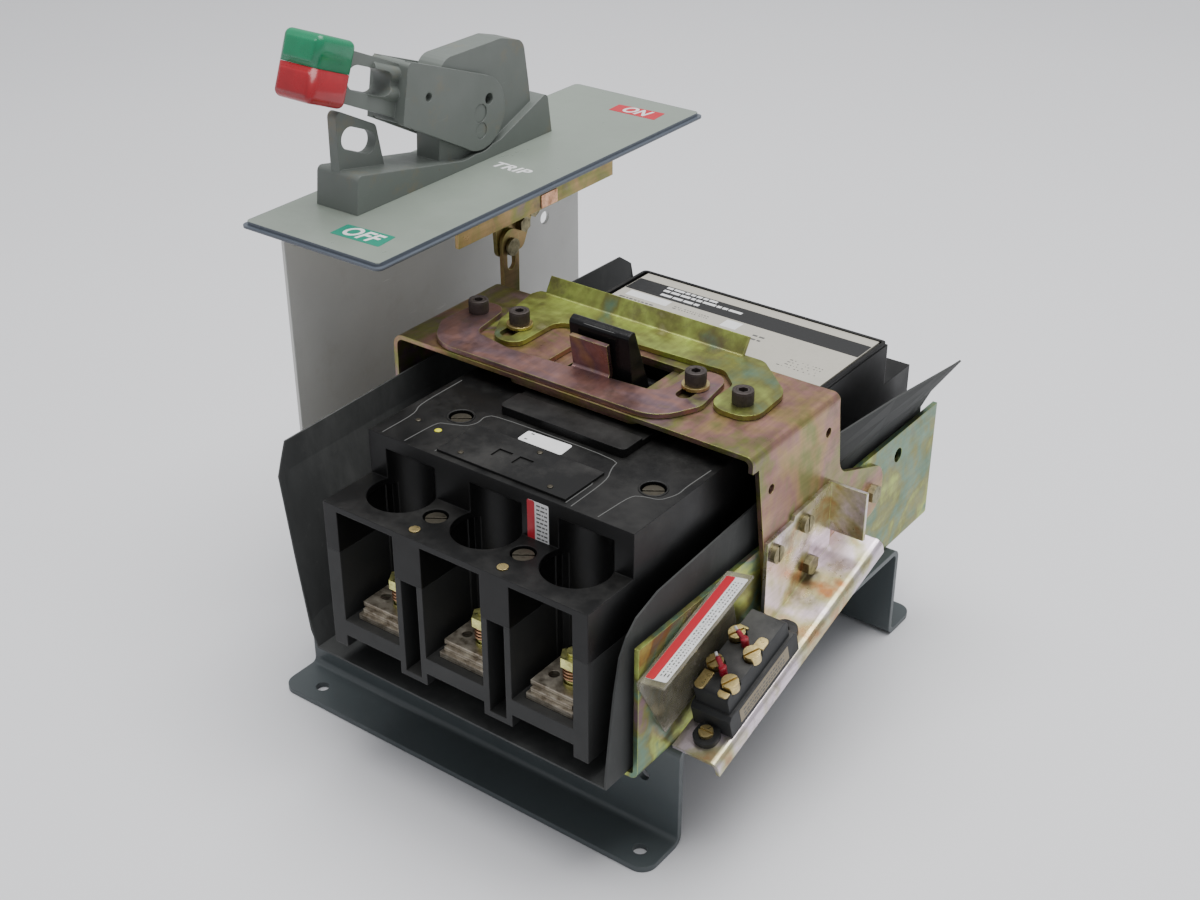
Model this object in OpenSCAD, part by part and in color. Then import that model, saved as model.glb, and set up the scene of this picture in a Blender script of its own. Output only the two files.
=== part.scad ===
// Three-pole moulded-case circuit breaker on a hat-section pan, with a sliding
// operating bridge, an auxiliary switch and a flange handle operator beside it.
// Lengths are in millimetres, +Z is up, and the poles face -Y.

/* [Breaker case] */
// Width of the case, across the poles
case_w = 152.4; // [140:0.1:185]
// Length of the case, from line end to load end
case_l = 284; // [250:1:345]
// Height of the main body above the case's underside
case_h = 102.3; // [95:0.1:125]
// Height of the terminal ledges above the case's underside
ledge_h = 79.3; // [70:0.1:90]
// Height of the split between base and cover
split_h = 53.8; // [45:0.1:62]
// Length of the front terminal ledge
ledge_front = 32.7; // [30:0.1:40]
// Length of the rear terminal ledge
ledge_rear = 28.2; // [27:0.1:36]
// Distance from pole to pole
pole_pitch = 50.8; // [46:0.1:56]
// Width of a terminal pocket
pocket_w = 34.5; // [30:0.1:37]
// Radius of the round access wells over the terminals
well_r = 16.5; // [14:0.1:17]

/* [Base pan] */
// Height of the pan's deck above the floor
pan_h = 57.6; // [40:0.1:80]
// Thickness of the pan's sheet
pan_t = 3; // [2:0.1:4]
// Width of the front and rear flanges, from the web's face
pan_flange = 25.5; // [22:0.1:40]
// Distance of the hole centres from the flange's edge
pan_hole_inset = 11; // [9:0.1:12]
// Radius of the mounting holes
pan_hole_r = 3.6; // [2.5:0.1:4.5]
// Length of deck to the left of the case
pan_left = 67; // [64:1:90]
// Distance of the left holes from the pan's left end
pan_hole_left = 19.4; // [12:0.1:30]
// Distance of the right holes from the pan's right end
pan_hole_right = 11.3; // [9:0.1:20]
// Overhang of the case past the front web
web_front = 46; // [40:1:60]
// Overhang of the case past the rear web
web_rear = 27.4; // [22:0.1:40]

/* [Sheet metal] */
// Thickness of the plated sheet
sheet_t = 2.5; // [2:0.1:3]
// Thickness of the insulating barrier
barrier_t = 1; // [0.8:0.1:1.5]
// Height of the right-hand side plate above the deck
side_h = 71.4; // [60:0.1:85]
// Gap between the case's right wall and the side plate's inner face
side_gap = 11.1; // [9:0.1:20]
// Gap between the case's underside and the barrier, taken by the spacers
spacer_h = 11.4; // [6:0.1:20]

/* [Operating bridge] */
// Gap between the case's top and the bridge's underside
bridge_gap = 7.7; // [7:0.1:12]
// Distance of the bridge's front edge from the case's front
bridge_front = 100.5; // [98:0.5:104]
// Length of the bridge's top, front to rear
bridge_l = 77.5; // [76:0.5:88]
// Distance of the bridge's left leg from the case's left wall
bridge_left = 46; // [45:1:52]
// Travel of the sliding plates
slide_travel = 9; // [4:0.5:9]
// Radius of the bolts that guide and drive the plates
stud_r = 3; // [2.5:0.1:3.2]
// Radius of the socket heads
head_r = 5.1; // [4.5:0.1:6.5]
// Height of the socket heads
head_h = 6.8; // [6:0.1:10]
// Width of the breaker's toggle
toggle_w = 35; // [28:0.5:42]
// Height of the toggle above the bridge's top
toggle_h = 28; // [26:0.5:34]

/* [Handle operator] */
// Height of the faceplate's top above the bridge's top
plate_gap = 49.8; // [45:0.1:70]
// Thickness of the faceplate
plate_t = 3.2; // [2:0.1:4]
// Width of the faceplate
plate_w = 95; // [90:1:110]
// Length of the faceplate
plate_l = 280; // [270:1:320]
// Distance of the faceplate's right edge from the case's left wall
plate_right = 28; // [20:1:34]
// Height of the lever's pivot above the faceplate
pivot_h = 27.2; // [26.5:0.1:34]
// Radius of the lever's round end
lever_r = 20.5; // [18:0.1:21]
// Rise of the lever in the off position
lever_rest = 22; // [20:1:26]
// Overall width of the handle casting and the lever
handle_w = 25.5; // [24:0.1:30]
// Thickness of each of the lever's cheeks
cheek_t = 4.2; // [3:0.1:4.5]
// Length of the lever, from its pivot to the knob
lever_l = 105; // [98:1:120]
// Length of the knob along the lever
knob_l = 26; // [20:1:32]
// Height of the knob
knob_h = 33.5; // [30:0.5:40]

/* [Auxiliary switch] */
// Tilt of the switch tray, rising to the rear
tray_tilt = 16.5; // [10:0.5:20]
// Width of the switch tray
tray_w = 22.5; // [22:0.5:30]
// Length of the switch body
switch_l = 74.5; // [70:0.5:76]
// Width of the switch body
switch_w = 21; // [18:0.5:21]
// Height of the switch body
switch_h = 24; // [20:0.5:28]

/* [Fits] */
// Gap between a sliding plate and what it slides on
slide_clear = 0.3; // [0.2:0.05:0.4]
// Clearance of a screw in its hole, on the radius
hole_clear = 0.3; // [0.2:0.05:0.5]
// Running clearance of a pivot pin in its bore, on the radius
pin_clear = 0.05; // [0.02:0.01:0.1]

/* [Hidden] */
$fn = 48;
far = 400;
eps = 0.01;

// Heights above the floor
deck_z = pan_h;
barrier_z = deck_z + sheet_t;
case_z = barrier_z + barrier_t + spacer_h;
split_z = case_z + split_h;
ledge_z = case_z + ledge_h;
top_z = case_z + case_h;
side_z = deck_z + side_h;
bridge_z = top_z + bridge_gap;
bridge_top = bridge_z + sheet_t;
slide_z = bridge_top + slide_clear;
slide_top = slide_z + sheet_t;
plate_z = bridge_top + plate_gap - plate_t;
plate_top = plate_z + plate_t;
pivot_z = plate_top + pivot_h;

// Places across the poles, measured from the case's left wall
mid_x = case_w / 2;
poles = [mid_x - pole_pitch, mid_x, mid_x + pole_pitch];
side_x = case_w + side_gap + sheet_t;
leg_x = side_x + sheet_t;
pan_right = leg_x + 1.5;
toggle_x = mid_x - 9.7;
stud_x = [mid_x - 99.4, mid_x - 71.7, mid_x + 36.3, mid_x + 62.6];
plate_x = -plate_right - plate_w;
handle_x = plate_x + 18;
left_plate_x = plate_x + 25;

// Places along the poles, measured from the case's front
web_y = [web_front, case_l - web_rear];
edge_y = [web_y[0] - pan_flange, web_y[1] + pan_flange];
stud_y = bridge_front + 37.5;
stud_at = [[stud_x[0], stud_y + 3], [stud_x[1], stud_y + 2], [stud_x[2], stud_y], [stud_x[3], stud_y]];
pivot_y = bridge_front + 113;
plate_y = pivot_y - 138.5;
toggle_y = stud_y + 3.4;
toggle_z = split_z + 18.7;

// The origin is the centre of the four mounting holes, on the floor
hole_x = [-pan_left + pan_hole_left, pan_right - pan_hole_right];
hole_y = [edge_y[0] + pan_hole_inset, edge_y[1] - pan_hole_inset];
origin_x = (hole_x[0] + hole_x[1]) / 2;
origin_y = (hole_y[0] + hole_y[1]) / 2;

// ---- outlines -------------------------------------------------------------

function unit(v) = v / norm(v);
function flat(p) = [p[0], p[1]];
function reversed(v) = [for (i = [len(v) - 1:-1:0]) v[i]];

// Points of one corner [x, y, radius], as an arc that touches both sides and takes under half of each
function corner(a, p, b, steps = 6) =
    len(p) < 3 || p[2] < eps ? [flat(p)] :
    let (u = unit(flat(a) - flat(p)), v = unit(flat(b) - flat(p)))
    let (half = acos(max(-1, min(1, u * v))) / 2)
    let (side = min(norm(flat(a) - flat(p)), norm(flat(b) - flat(p))))
    let (r = min(p[2], 0.49 * side * tan(half)))
    let (c = flat(p) + unit(u + v) * r / sin(half))
    let (s = flat(p) + u * r / tan(half) - c, e = flat(p) + v * r / tan(half) - c)
    let (turn = 180 - 2 * half)
    [for (k = [0:steps]) c + (s * sin(turn * (1 - k / steps)) + e * sin(turn * k / steps)) / sin(turn)];

// A closed outline whose corners are [x, y, radius]
function rounded(pts) = let (n = len(pts))
    [for (i = [0:n - 1]) each corner(pts[(i + n - 1) % n], pts[i], pts[(i + 1) % n])];

// The path moved d to its left, with each corner's radius changed to suit
function beside(path, d) = let (n = len(path))
    [for (i = [0:n - 1])
        let (p = flat(path[i]), a = flat(path[max(i - 1, 0)]), b = flat(path[min(i + 1, n - 1)]))
        let (u = i > 0 ? unit(p - a) : unit(b - p), v = i < n - 1 ? unit(b - p) : u)
        let (m = [-u[1] - v[1], u[0] + v[0]], turn = u[0] * v[1] - u[1] * v[0])
        let (q = p + m * d / (1 + u * v), r = len(path[i]) < 3 ? 0 : path[i][2])
        [q[0], q[1], r < eps ? 0 : r - sign(turn) * d]];

// The outline of a sheet bent along a path of [x, y, radius], lying to its left
function bent(path, d) = rounded(concat(path, reversed(beside(path, d))));

// An upright slot or obround, in the drawing plane
module slot2(length, r) {
    translate([-length / 2, -r]) square([length, 2 * r]);
    for (side = [-1, 1]) translate([side * length / 2, 0]) circle(r);
}

// ---- placing --------------------------------------------------------------

module at_case() { translate([-origin_x, -origin_y, 0]) children(); }
// Drawn in (y, z), extruded from x0 to x1
module along_x(x0, x1) { translate([x0, 0, 0]) rotate([90, 0, 90]) linear_extrude(x1 - x0) children(); }
// Drawn in (x, z), extruded from y0 to y1
module along_y(y0, y1) { translate([0, y1, 0]) rotate([90, 0, 0]) linear_extrude(y1 - y0) children(); }
module along_z(z0, z1) { translate([0, 0, z0]) linear_extrude(z1 - z0) children(); }
module box(low, high) { translate(low) cube(high - low); }
module hole_x(y, z, r, x = side_x) { translate([x - 10, y, z]) rotate([0, 90, 0]) cylinder(r = r, h = 20); }
module hole_z(x, y, r, z = deck_z) { translate([x, y, z - 10]) cylinder(r = r, h = 20); }

// A round head with a screwdriver slot, seated at the origin and facing +Z
module slotted_head(r, h, slot = 1) {
    difference() {
        cylinder(r = r, h = h);
        translate([-r - 1, -slot / 2, h * 0.55]) cube([2 * r + 2, slot, h]);
    }
}
// A socket head with its six-sided recess
module socket_head(r, h) {
    difference() {
        cylinder(r = r, h = h);
        translate([0, 0, h * 0.4]) cylinder(r = r * 0.48, h = h, $fn = 6);
    }
}
module hex_head(r, h) { cylinder(r = r, h = h, $fn = 6); }

// ---- base pan, barrier and side plate --------------------------------------

module pan_profile() {
    top = [[edge_y[0], pan_t], [web_y[0], pan_t, pan_t], [web_y[0], deck_z, 2 * pan_t],
        [web_y[1], deck_z, 2 * pan_t], [web_y[1], pan_t, pan_t], [edge_y[1], pan_t]];
    polygon(bent(top, -pan_t));
}
module base_pan() {
    round_r = 8;
    color("lightslategray") at_case() difference() {
        along_x(-pan_left, pan_right) pan_profile();
        for (x = hole_x, y = hole_y) hole_z(x, y, pan_hole_r, 0);
        for (sx = [0, 1], sy = [0, 1]) pan_corner(sx, sy, round_r);
        for (x = [pan_right - 42, pan_right - 20]) {
            translate([x, web_y[0] - 5, deck_z - 24]) rotate([-90, 0, 0]) cylinder(r = 3.2, h = 12);
        }
        translate([pan_right - 14, web_y[1] - 8, deck_z - 14]) rotate([-90, 0, 0]) cylinder(r = 2.6,
            h = 12);
    }
}
// Cuts one of the pan's flange corners round
module pan_corner(sx, sy, r) {
    x = sx ? pan_right : -pan_left;
    y = edge_y[sy];
    dx = sx ? -1 : 1;
    dy = sy ? -1 : 1;
    translate([x, y, -1]) scale([dx, dy, 1]) linear_extrude(pan_t + 2) difference() {
        translate([-1, -1]) square(r + 1);
        translate([r, r]) circle(r);
    }
}

// Height and lean of the barrier's two walls, from front to rear
barrier_rows = [for (y = [2, 3.5, 5, 8, 12, 17, 24, 40, 65, 118, 180, 236]) y,
    case_l - 14, case_l - 4, case_l + 2];
function left_top(y) = lookup(y, [[2, 70], [3.5, 108], [5, 150], [12, 166], [case_l - 14, 172],
    [case_l - 4, 165], [case_l + 2, 130]]);
function right_top(y) = lookup(y, [[2, 66], [5, 88], [8, 108], [12, 126], [17, 134], [24, 140], [40, 145],
    [118, 150], [case_l - 14, 160], [case_l + 2, 162]]);
function left_lean(z, y) = lookup(z, [[61, 0], [74, 5], [152, 19], [172, 20]])
    - lookup(y, [[118, 0], [case_l, 9]]) * (z - 61) / 110;
function right_lean(z, y) = lookup(z, [[side_z + 3, 0], [side_z + 33, 1]])
    * lookup(y, [[bridge_rear + 6, 0], [case_l, 20]]);
// One row of the barrier's inner face: down the left wall, across and up the right
function barrier_row(y) = let (lt = left_top(y), rt = right_top(y), z0 = barrier_z + barrier_t)
    let (right = case_w + side_gap - 4)
    concat([for (k = [0:7]) let (z = lt + (z0 - lt) * k / 7) [-15 - left_lean(z, y), y, z]],
        [for (k = [1:3]) [-15 + (right + 15) * k / 4, y, z0]],
        [for (k = [0:9]) let (z = z0 + (rt - z0) * k / 9) [right + right_lean(z, y), y, z]]);
// The same row, moved outwards by the sheet's thickness
function barrier_skin(row) = let (moved = beside([for (p = row) [p[0], p[2]]], -barrier_t))
    [for (i = [0:len(row) - 1]) [moved[i][0], row[i][1], moved[i][1]]];
module insulating_barrier() {
    rows = [for (y = barrier_rows) barrier_row(y)];
    skins = [for (row = rows) barrier_skin(row)];
    m = len(rows[0]);
    n = len(rows);
    pts = concat([for (row = rows) each row], [for (row = skins) each row]);
    // Vertex of the inner face (side 0) or the outer face (side 1)
    function at(i, j, side) = (side * n + i) * m + j;
    function two(a, b, c, d) = [[a, b, c], [a, c, d]];
    faces = concat(
        [for (i = [0:n - 2], j = [0:m - 2]) each two(at(i, j, 0), at(i, j + 1, 0), at(i + 1, j + 1,
            0), at(i + 1, j, 0))],
        [for (i = [0:n - 2], j = [0:m - 2]) each two(at(i, j, 1), at(i + 1, j, 1), at(i + 1, j + 1,
            1), at(i, j + 1, 1))],
        [for (i = [0:n - 2]) each two(at(i, 0, 0), at(i + 1, 0, 0), at(i + 1, 0, 1), at(i, 0, 1))],
        [for (i = [0:n - 2]) each two(at(i, m - 1, 0), at(i, m - 1, 1), at(i + 1, m - 1, 1),
            at(i + 1, m - 1, 0))],
        [for (j = [0:m - 2]) each two(at(0, j, 0), at(0, j, 1), at(0, j + 1, 1), at(0, j + 1, 0))],
        [for (j = [0:m - 2]) each two(at(n - 1, j, 0), at(n - 1, j + 1, 0), at(n - 1, j + 1, 1),
            at(n - 1, j, 1))]);
    color("#24262a") at_case() polyhedron(pts, faces);
}

module pan_side_plate() {
    outer = [[side_x - 16, deck_z], [side_x, deck_z, sheet_t + 1.5], [side_x, side_z]];
    color("darkkhaki") at_case() difference() {
        along_y(18, case_l + 10) polygon(bent(outer, sheet_t));
        hole_x(case_l - 32, side_z - 13, 4);
        for (p = bridge_screw_at) hole_x(p[0], p[1], stud_r + hole_clear);
    }
}
module case_spacers() {
    color("gainsboro") at_case() for (x = [poles[0], poles[2]], y = [web_y[0] + 22, web_y[1] - 22]) {
        translate([x, y, barrier_z + barrier_t]) cylinder(r = 8, h = spacer_h);
    }
}

// ---- breaker case -----------------------------------------------------------

// Space of one terminal pocket, open to the front, for an end whose ledge is this long
module pocket(ledge) {
    sill_z = case_z + 15.5;
    roof_z = ledge_z - 3.3;
    well_y = ledge - 6.7;
    along_z(sill_z, roof_z) translate([-pocket_w / 2, -1]) square([pocket_w, ledge + 1]);
    translate([0, well_y, sill_z]) cylinder(r = well_r, h = top_z - 7 - sill_z);
    translate([-well_r, well_y - eps, sill_z]) cube([2 * well_r, ledge - well_y + 4, roof_z - sill_z]);
}
// All that is cut from one end of the case: pockets, the gaps between poles and the space under the sills
module end_cuts(ledge) {
    for (x = poles) translate([x, 0, 0]) {
        pocket(ledge);
        box([-pocket_w / 2, -1, case_z - 1], [pocket_w / 2, 9, case_z + 6.8]);
    }
    for (x = [mid_x - pole_pitch / 2, mid_x + pole_pitch / 2]) {
        box([x - 4.8, -1, case_z + 3], [x + 4.8, ledge - 9, split_z]);
    }
}
module both_ends() {
    end_cuts(ledge_front);
    at_rear() end_cuts(ledge_rear);
}
module at_rear() { translate([case_w, case_l, 0]) rotate([0, 0, 180]) children(); }

// Room for the toggle's drum, clear of it by this much
module drum_room(clear) {
    drum_r = top_z - toggle_z + 1.7;
    intersection() {
        translate([toggle_x - toggle_w / 2 - clear, toggle_y, toggle_z]) rotate([0, 90, 0])
            cylinder(r = drum_r + clear, h = toggle_w + 2 * clear);
        box([0, 0, clear > 0 ? split_z + 3 : toggle_z - 5], [case_w, case_l, far]);
    }
}
module case_base() {
    color("#3a3c3f") at_case() difference() {
        box([0, 0, case_z], [case_w, case_l, split_z]);
        both_ends();
    }
}
module case_cover() {
    color("#1d1e20") at_case() difference() {
        union() {
            box([0, 0, split_z], [case_w, case_l, ledge_z]);
            box([0, ledge_front, split_z], [case_w, case_l - ledge_rear, top_z]);
        }
        both_ends();
        drum_room(1.5);
        box([toggle_x - toggle_w / 2 - 1.5, toggle_y - 18, top_z - 12],
            [toggle_x + toggle_w / 2 + 1.5, toggle_y + 18, far]);
        translate([toggle_x, toggle_y, toggle_z]) rotate([0, 90, 0])
            cylinder(r = 4 + pin_clear, h = toggle_w + 14, center = true);
        for (p = cover_screw_at) translate([p[0], p[1], p[2] - 4]) cylinder(r = 6, h = 10);
    }
}
// Screws in the cover: two on the front ledge, two near the front of the top, two on the rear ledge
cover_screw_at = [[mid_x - 25.4, ledge_front - 12, ledge_z], [mid_x + 25.4, ledge_front - 12, ledge_z],
    [26.9, ledge_front + 35, top_z], [case_w - 14.6, ledge_front + 35, top_z],
    [mid_x - 25.4, case_l - ledge_rear + 12, ledge_z], [mid_x + 25.4, case_l - ledge_rear + 12, ledge_z]];
module cover_screws() {
    color("#9a9488") at_case() for (p = cover_screw_at) {
        translate([p[0], p[1], p[2] - 4]) rotate([0, 0, 35]) slotted_head(5, 3);
    }
}
module ledge_inserts() {
    color("goldenrod") at_case() for (x = [mid_x - 25.4, mid_x + 25.4]) {
        translate([x, 6.5, ledge_z]) cylinder(r = 2.6, h = 0.6);
    }
}
module escutcheon() {
    front = toggle_y - 60.4;
    left = mid_x - 37;
    right = mid_x + 36;
    back = toggle_y + 38;
    step = front + 15;
    color("#232527") at_case() difference() {
        union() {
            along_z(top_z, top_z + 3.2) polygon(rounded([[left, front, 3], [right, front, 3],
                [right, back, 3], [left, back, 3]]));
            along_z(top_z, top_z + 4.5) polygon(rounded([[left, front, 3], [right, front, 3],
                [right, step, 1], [left, step, 1]]));
        }
        box([toggle_x - toggle_w / 2 - 1.5, toggle_y - 18, 0], [toggle_x + toggle_w / 2 + 1.5,
            toggle_y + 18, far]);
    }
}
module access_panel() {
    color("#17181a") at_case() difference() {
        box([mid_x - 37, ledge_front + 3.5, top_z], [mid_x + 37, ledge_front + 32, top_z + 1.2]);
        for (x = [mid_x - 14, mid_x - 2]) box([x, ledge_front + 14, top_z + 0.3], [x + 8,
            ledge_front + 21, far]);
    }
}
module label_plate() {
    color("silver") at_case() box([4, bridge_front + bridge_l + 12, top_z],
        [case_w - 4, case_l - ledge_rear - 1.5, top_z + 1]);
}

// ---- terminals --------------------------------------------------------------

// A laminated terminal pad on the pocket's floor, with a hole for its bolt
module terminal_pad(ledge) {
    sill_z = case_z + 15.5;
    difference() {
        union() {
            box([-13, 5, sill_z], [13, ledge, sill_z + 3]);
            box([-11.5, 6.5, sill_z + 3], [11.5, ledge, sill_z + 5.5]);
            box([-13, 8.5, sill_z + 5.5], [13, ledge, sill_z + 8]);
        }
        hole_z(4.5, ledge - 15, 3.6, sill_z + 4);
        hole_z(-7, ledge - 15, 2.6, sill_z + 4);
    }
}
// A hex bolt standing in the pad, with its collar and spring
module terminal_bolt(ledge) {
    sill_z = case_z + 15.5;
    translate([4.5, ledge - 15, sill_z]) {
        cylinder(r = 3.6 - hole_clear, h = 26);
        translate([0, 0, 8]) cylinder(r = 5, h = 2);
        translate([0, 0, 19]) hex_head(6.6, 5);
        for (k = [0:4]) translate([0, 0, 10.8 + 1.6 * k]) cylinder(r = 4.4, h = 0.9);
    }
}
module line_terminals() {
    color("#b9a78f") at_case() for (x = poles) translate([x, 0, 0]) terminal_pad(ledge_front);
}
module line_terminal_bolts() {
    color("#a8b04a") at_case() for (x = poles) translate([x, 0, 0]) terminal_bolt(ledge_front);
}
module load_terminals() {
    color("#b9a78f") at_case() at_rear() for (x = poles) translate([x, 0, 0]) terminal_pad(ledge_rear);
}
module load_terminal_bolts() {
    color("#a8b04a") at_case() at_rear() for (x = poles) translate([x, 0, 0]) terminal_bolt(ledge_rear);
}

// ---- toggle -----------------------------------------------------------------

module toggle_handle() {
    root = 20;
    front_lean = 0.13;
    rear_lean = 0.37;
    top = bridge_top + toggle_h - toggle_z;
    front_top = top - 2.5;
    paddle = rounded([[-12.4, root], [4.2, root], [4.2 - rear_lean * (top - root), top, 2],
        [-12.4 - front_lean * (front_top - root), front_top, 2]]);
    color("#141416") at_case() union() {
        drum_room(0);
        along_x(toggle_x - toggle_w / 2, toggle_x + toggle_w / 2) translate([toggle_y, toggle_z])
            polygon(paddle);
        translate([toggle_x, toggle_y, toggle_z]) rotate([0, 90, 0])
            cylinder(r = 4, h = toggle_w + 11, center = true);
    }
}

// ---- operating bridge -------------------------------------------------------

// Where the right leg is bolted to the side plate, as (y, z)
bridge_screw_at = [[bridge_front + 52.5, side_z - 26], [bridge_front + 118.5, side_z - 19]];
// Thickness of the switch bracket, which the first of them also holds
bracket_t = 2;
bridge_rear = bridge_front + bridge_l;
left_leg_x = -bridge_left;
window_x = [mid_x - 40.2, mid_x + 20];
window_y = [stud_y - 28, stud_y + 16];
// Bolts that drive the plates, and bolts that guide them
driver_at = [stud_at[0], stud_at[3]];
guide_at = [stud_at[1], stud_at[2]];

module bridge_bracket() {
    bend = sheet_t + 4;
    leg_top = bridge_top - bend;
    across = [[left_leg_x - 18, barrier_z], [left_leg_x, barrier_z, 1.5], [left_leg_x, bridge_top, bend],
        [leg_x, bridge_top, bend], [leg_x, leg_top - 1.5]];
    right_leg = rounded([[bridge_front + 5, leg_top], [bridge_front + 19, deck_z + 38, 6],
        [bridge_front + 26, deck_z + 25, 6], [bridge_front + 130.5, deck_z + 40, 13],
        [bridge_front + 130.5, side_z - 8, 12], [bridge_rear + 5, side_z + 10, 12],
        [bridge_rear, leg_top]]);
    color("#b8a860") at_case() difference() {
        union() {
            along_y(bridge_front, bridge_rear) polygon(bent(across, -sheet_t));
            along_x(side_x, leg_x) polygon(right_leg);
        }
        box([window_x[0], window_y[0], bridge_z - 1], [window_x[1], window_y[1], bridge_top + 1]);
        for (p = driver_at) translate([p[0], p[1] + slide_travel / 2, bridge_z - 1])
            linear_extrude(sheet_t + 2) rotate(90) slot2(slide_travel, stud_r + 1);
        for (p = guide_at) hole_z(p[0], p[1], stud_r + hole_clear, bridge_z);
        for (p = bridge_screw_at) hole_x(p[0], p[1], stud_r + hole_clear);
        for (p = leg_holes) hole_x(p[0], p[1], 2.5);
        for (p = bracket_screw_at) hole_x(p[0], p[1], 2.5 + hole_clear);
        for (y = foot_screw_y) hole_z(left_leg_x - 10, y, 2.5 + hole_clear, barrier_z);
    }
}
leg_holes = [[bridge_front + 17, bridge_top - 23.4], [bridge_front + 67.9, bridge_top - 17]];
foot_screw_y = [bridge_front + 14.5, bridge_rear - 18];
// Screws of the right leg, and of the left foot
module bridge_screws() {
    color("#8f8a6a") at_case() {
        for (i = [0, 1]) let (p = bridge_screw_at[i], lift = i == 0 ? bracket_t : 0)
            translate([leg_x + lift, p[0], p[1]]) rotate([0, 90, 0]) {
                hex_head(5.2, 3.5);
                translate([0, 0, -2 * sheet_t - lift]) cylinder(r = stud_r, h = 2 * sheet_t + lift);
            }
        for (y = foot_screw_y) translate([left_leg_x - 10, y, barrier_z]) {
            hex_head(4.6, 3);
            translate([0, 0, -sheet_t]) cylinder(r = 2.5, h = sheet_t);
        }
    }
}

// The front plate: a bar in front of the toggle, with a lobe at each end and a standing tab
module front_slide_plate() {
    x = stud_x;
    y = stud_y;
    outline = rounded([[x[0] + 4, y - 37, 22], [x[0] - 9, y - 16, 10], [x[0] - 7, y + 15, 9],
        [x[0] + 9, y + 15, 9],
        [x[0] + 14, y - 16, 7], [x[1] + 12, y - 21, 6], [x[2] - 14, y - 15, 9], [x[2] - 10, y - 7, 6],
        [x[2] - 8, y + 17, 9], [x[2] + 8, y + 17, 9], [x[2] + 13, y - 14, 10], [x[2] + 2, y - 36, 22]]);
    tab = [[y - 21, slide_z], [y - 13, slide_z, sheet_t + 1.5], [y - 16.5, slide_top + 17.5]];
    color("#b9ad6e") at_case() difference() {
        union() {
            along_z(slide_z, slide_top) polygon(outline);
            along_x(mid_x - 24, mid_x - 2) polygon(bent(tab, sheet_t));
        }
        hole_z(x[0], stud_at[0][1], stud_r + hole_clear, slide_z);
        plate_slot(stud_at[2]);
    }
}
// Slot along Y by which a plate runs past a guide bolt
module plate_slot(p) {
    translate([p[0], p[1] - slide_travel / 2, slide_z - 1]) linear_extrude(sheet_t + 2) rotate(90)
        slot2(slide_travel + 1, stud_r + 1);
}
// The rear plate: a web behind the toggle, with two lobes and an upturned rear flange
module rear_slide_plate() {
    x = stud_x;
    y = stud_y;
    outline = rounded([[x[1] - 13, y + 2, 12], [x[1] - 3, y - 16, 10], [x[1] + 12, y - 15, 9],
        [x[1] + 12, y + 19, 8],
        [x[2] + 2, y + 22.5, 8], [x[3] - 13, y + 12, 6], [x[3] - 13, y - 12, 10], [x[3] + 13, y - 12, 10],
        [x[3] + 11, y + 20, 14], [x[3] - 14, y + 42, 8], [x[0] + 10, y + 42, 3], [x[0] + 8, y + 36, 3]]);
    color("#a9b06c") at_case() difference() {
        union() {
            along_z(slide_z, slide_top) polygon(outline);
            along_x(x[0] + 14, x[3] - 26) polygon(bent([[y + 34, slide_z], [y + 42, slide_z, sheet_t + 1.5],
                [y + 48, slide_top + 7]], sheet_t));
        }
        hole_z(x[3], y, stud_r + hole_clear, slide_z);
        plate_slot(stud_at[1]);
    }
}
// Bolts that drive the plates: head above the plate, shank down through the bridge's slot
module slide_bolts() {
    carriage_z = bridge_z - slide_clear - sheet_t;
    color("#1b1b1c") at_case() for (p = driver_at) translate([p[0], p[1], slide_top]) {
        socket_head(head_r, head_h);
        translate([0, 0, carriage_z - slide_top]) cylinder(r = stud_r, h = slide_top - carriage_z);
    }
}
module slide_carriage() {
    z1 = bridge_z - slide_clear;
    color("#a39a68") at_case() difference() {
        along_z(z1 - sheet_t, z1) polygon(rounded([[stud_x[0] - 8, stud_y - 8, 6], [stud_x[0] + 22,
            stud_y - 8, 4],
            [window_x[0] - 6, stud_y - 36, 4], [window_x[1] + 5, stud_y - 36, 4], [stud_x[3] - 16,
                stud_y - 8, 4],
            [stud_x[3] + 8, stud_y - 8, 6], [stud_x[3] + 8, stud_y + 8, 6], [stud_x[3] - 16, stud_y + 8, 4],
            [window_x[1] + 5, stud_y + 26, 4], [window_x[0] - 6, stud_y + 26, 4], [stud_x[0] + 22,
                stud_y + 11, 4],
            [stud_x[0] - 8, stud_y + 11, 6]]));
        box([toggle_x - toggle_w / 2 - 5, stud_y - 27, 0], [toggle_x + toggle_w / 2 + 5, stud_y + 18, far]);
        for (p = driver_at) hole_z(p[0], p[1], stud_r + hole_clear, z1);
        for (p = guide_at) translate([p[0], p[1] - slide_travel / 2, z1 - sheet_t - 1])
            linear_extrude(sheet_t + 2) rotate(90) slot2(slide_travel + 1, stud_r + 1.5);
    }
}
washer_t = 1.6;
module guide_washers() {
    color("#c9a24a") at_case() for (p = guide_at) {
        translate([p[0], p[1], slide_top + slide_clear]) difference() {
            cylinder(r = head_r + 1.6, h = washer_t);
            translate([0, 0, -1]) cylinder(r = stud_r + hole_clear, h = 4);
        }
    }
}
module guide_bolts() {
    seat = slide_top + slide_clear + washer_t;
    color("#1b1b1c") at_case() for (p = guide_at) translate([p[0], p[1], seat]) {
        socket_head(head_r, head_h);
        translate([0, 0, bridge_z - seat]) cylinder(r = stud_r, h = seat - bridge_z);
    }
}

// ---- handle operator --------------------------------------------------------

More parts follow.
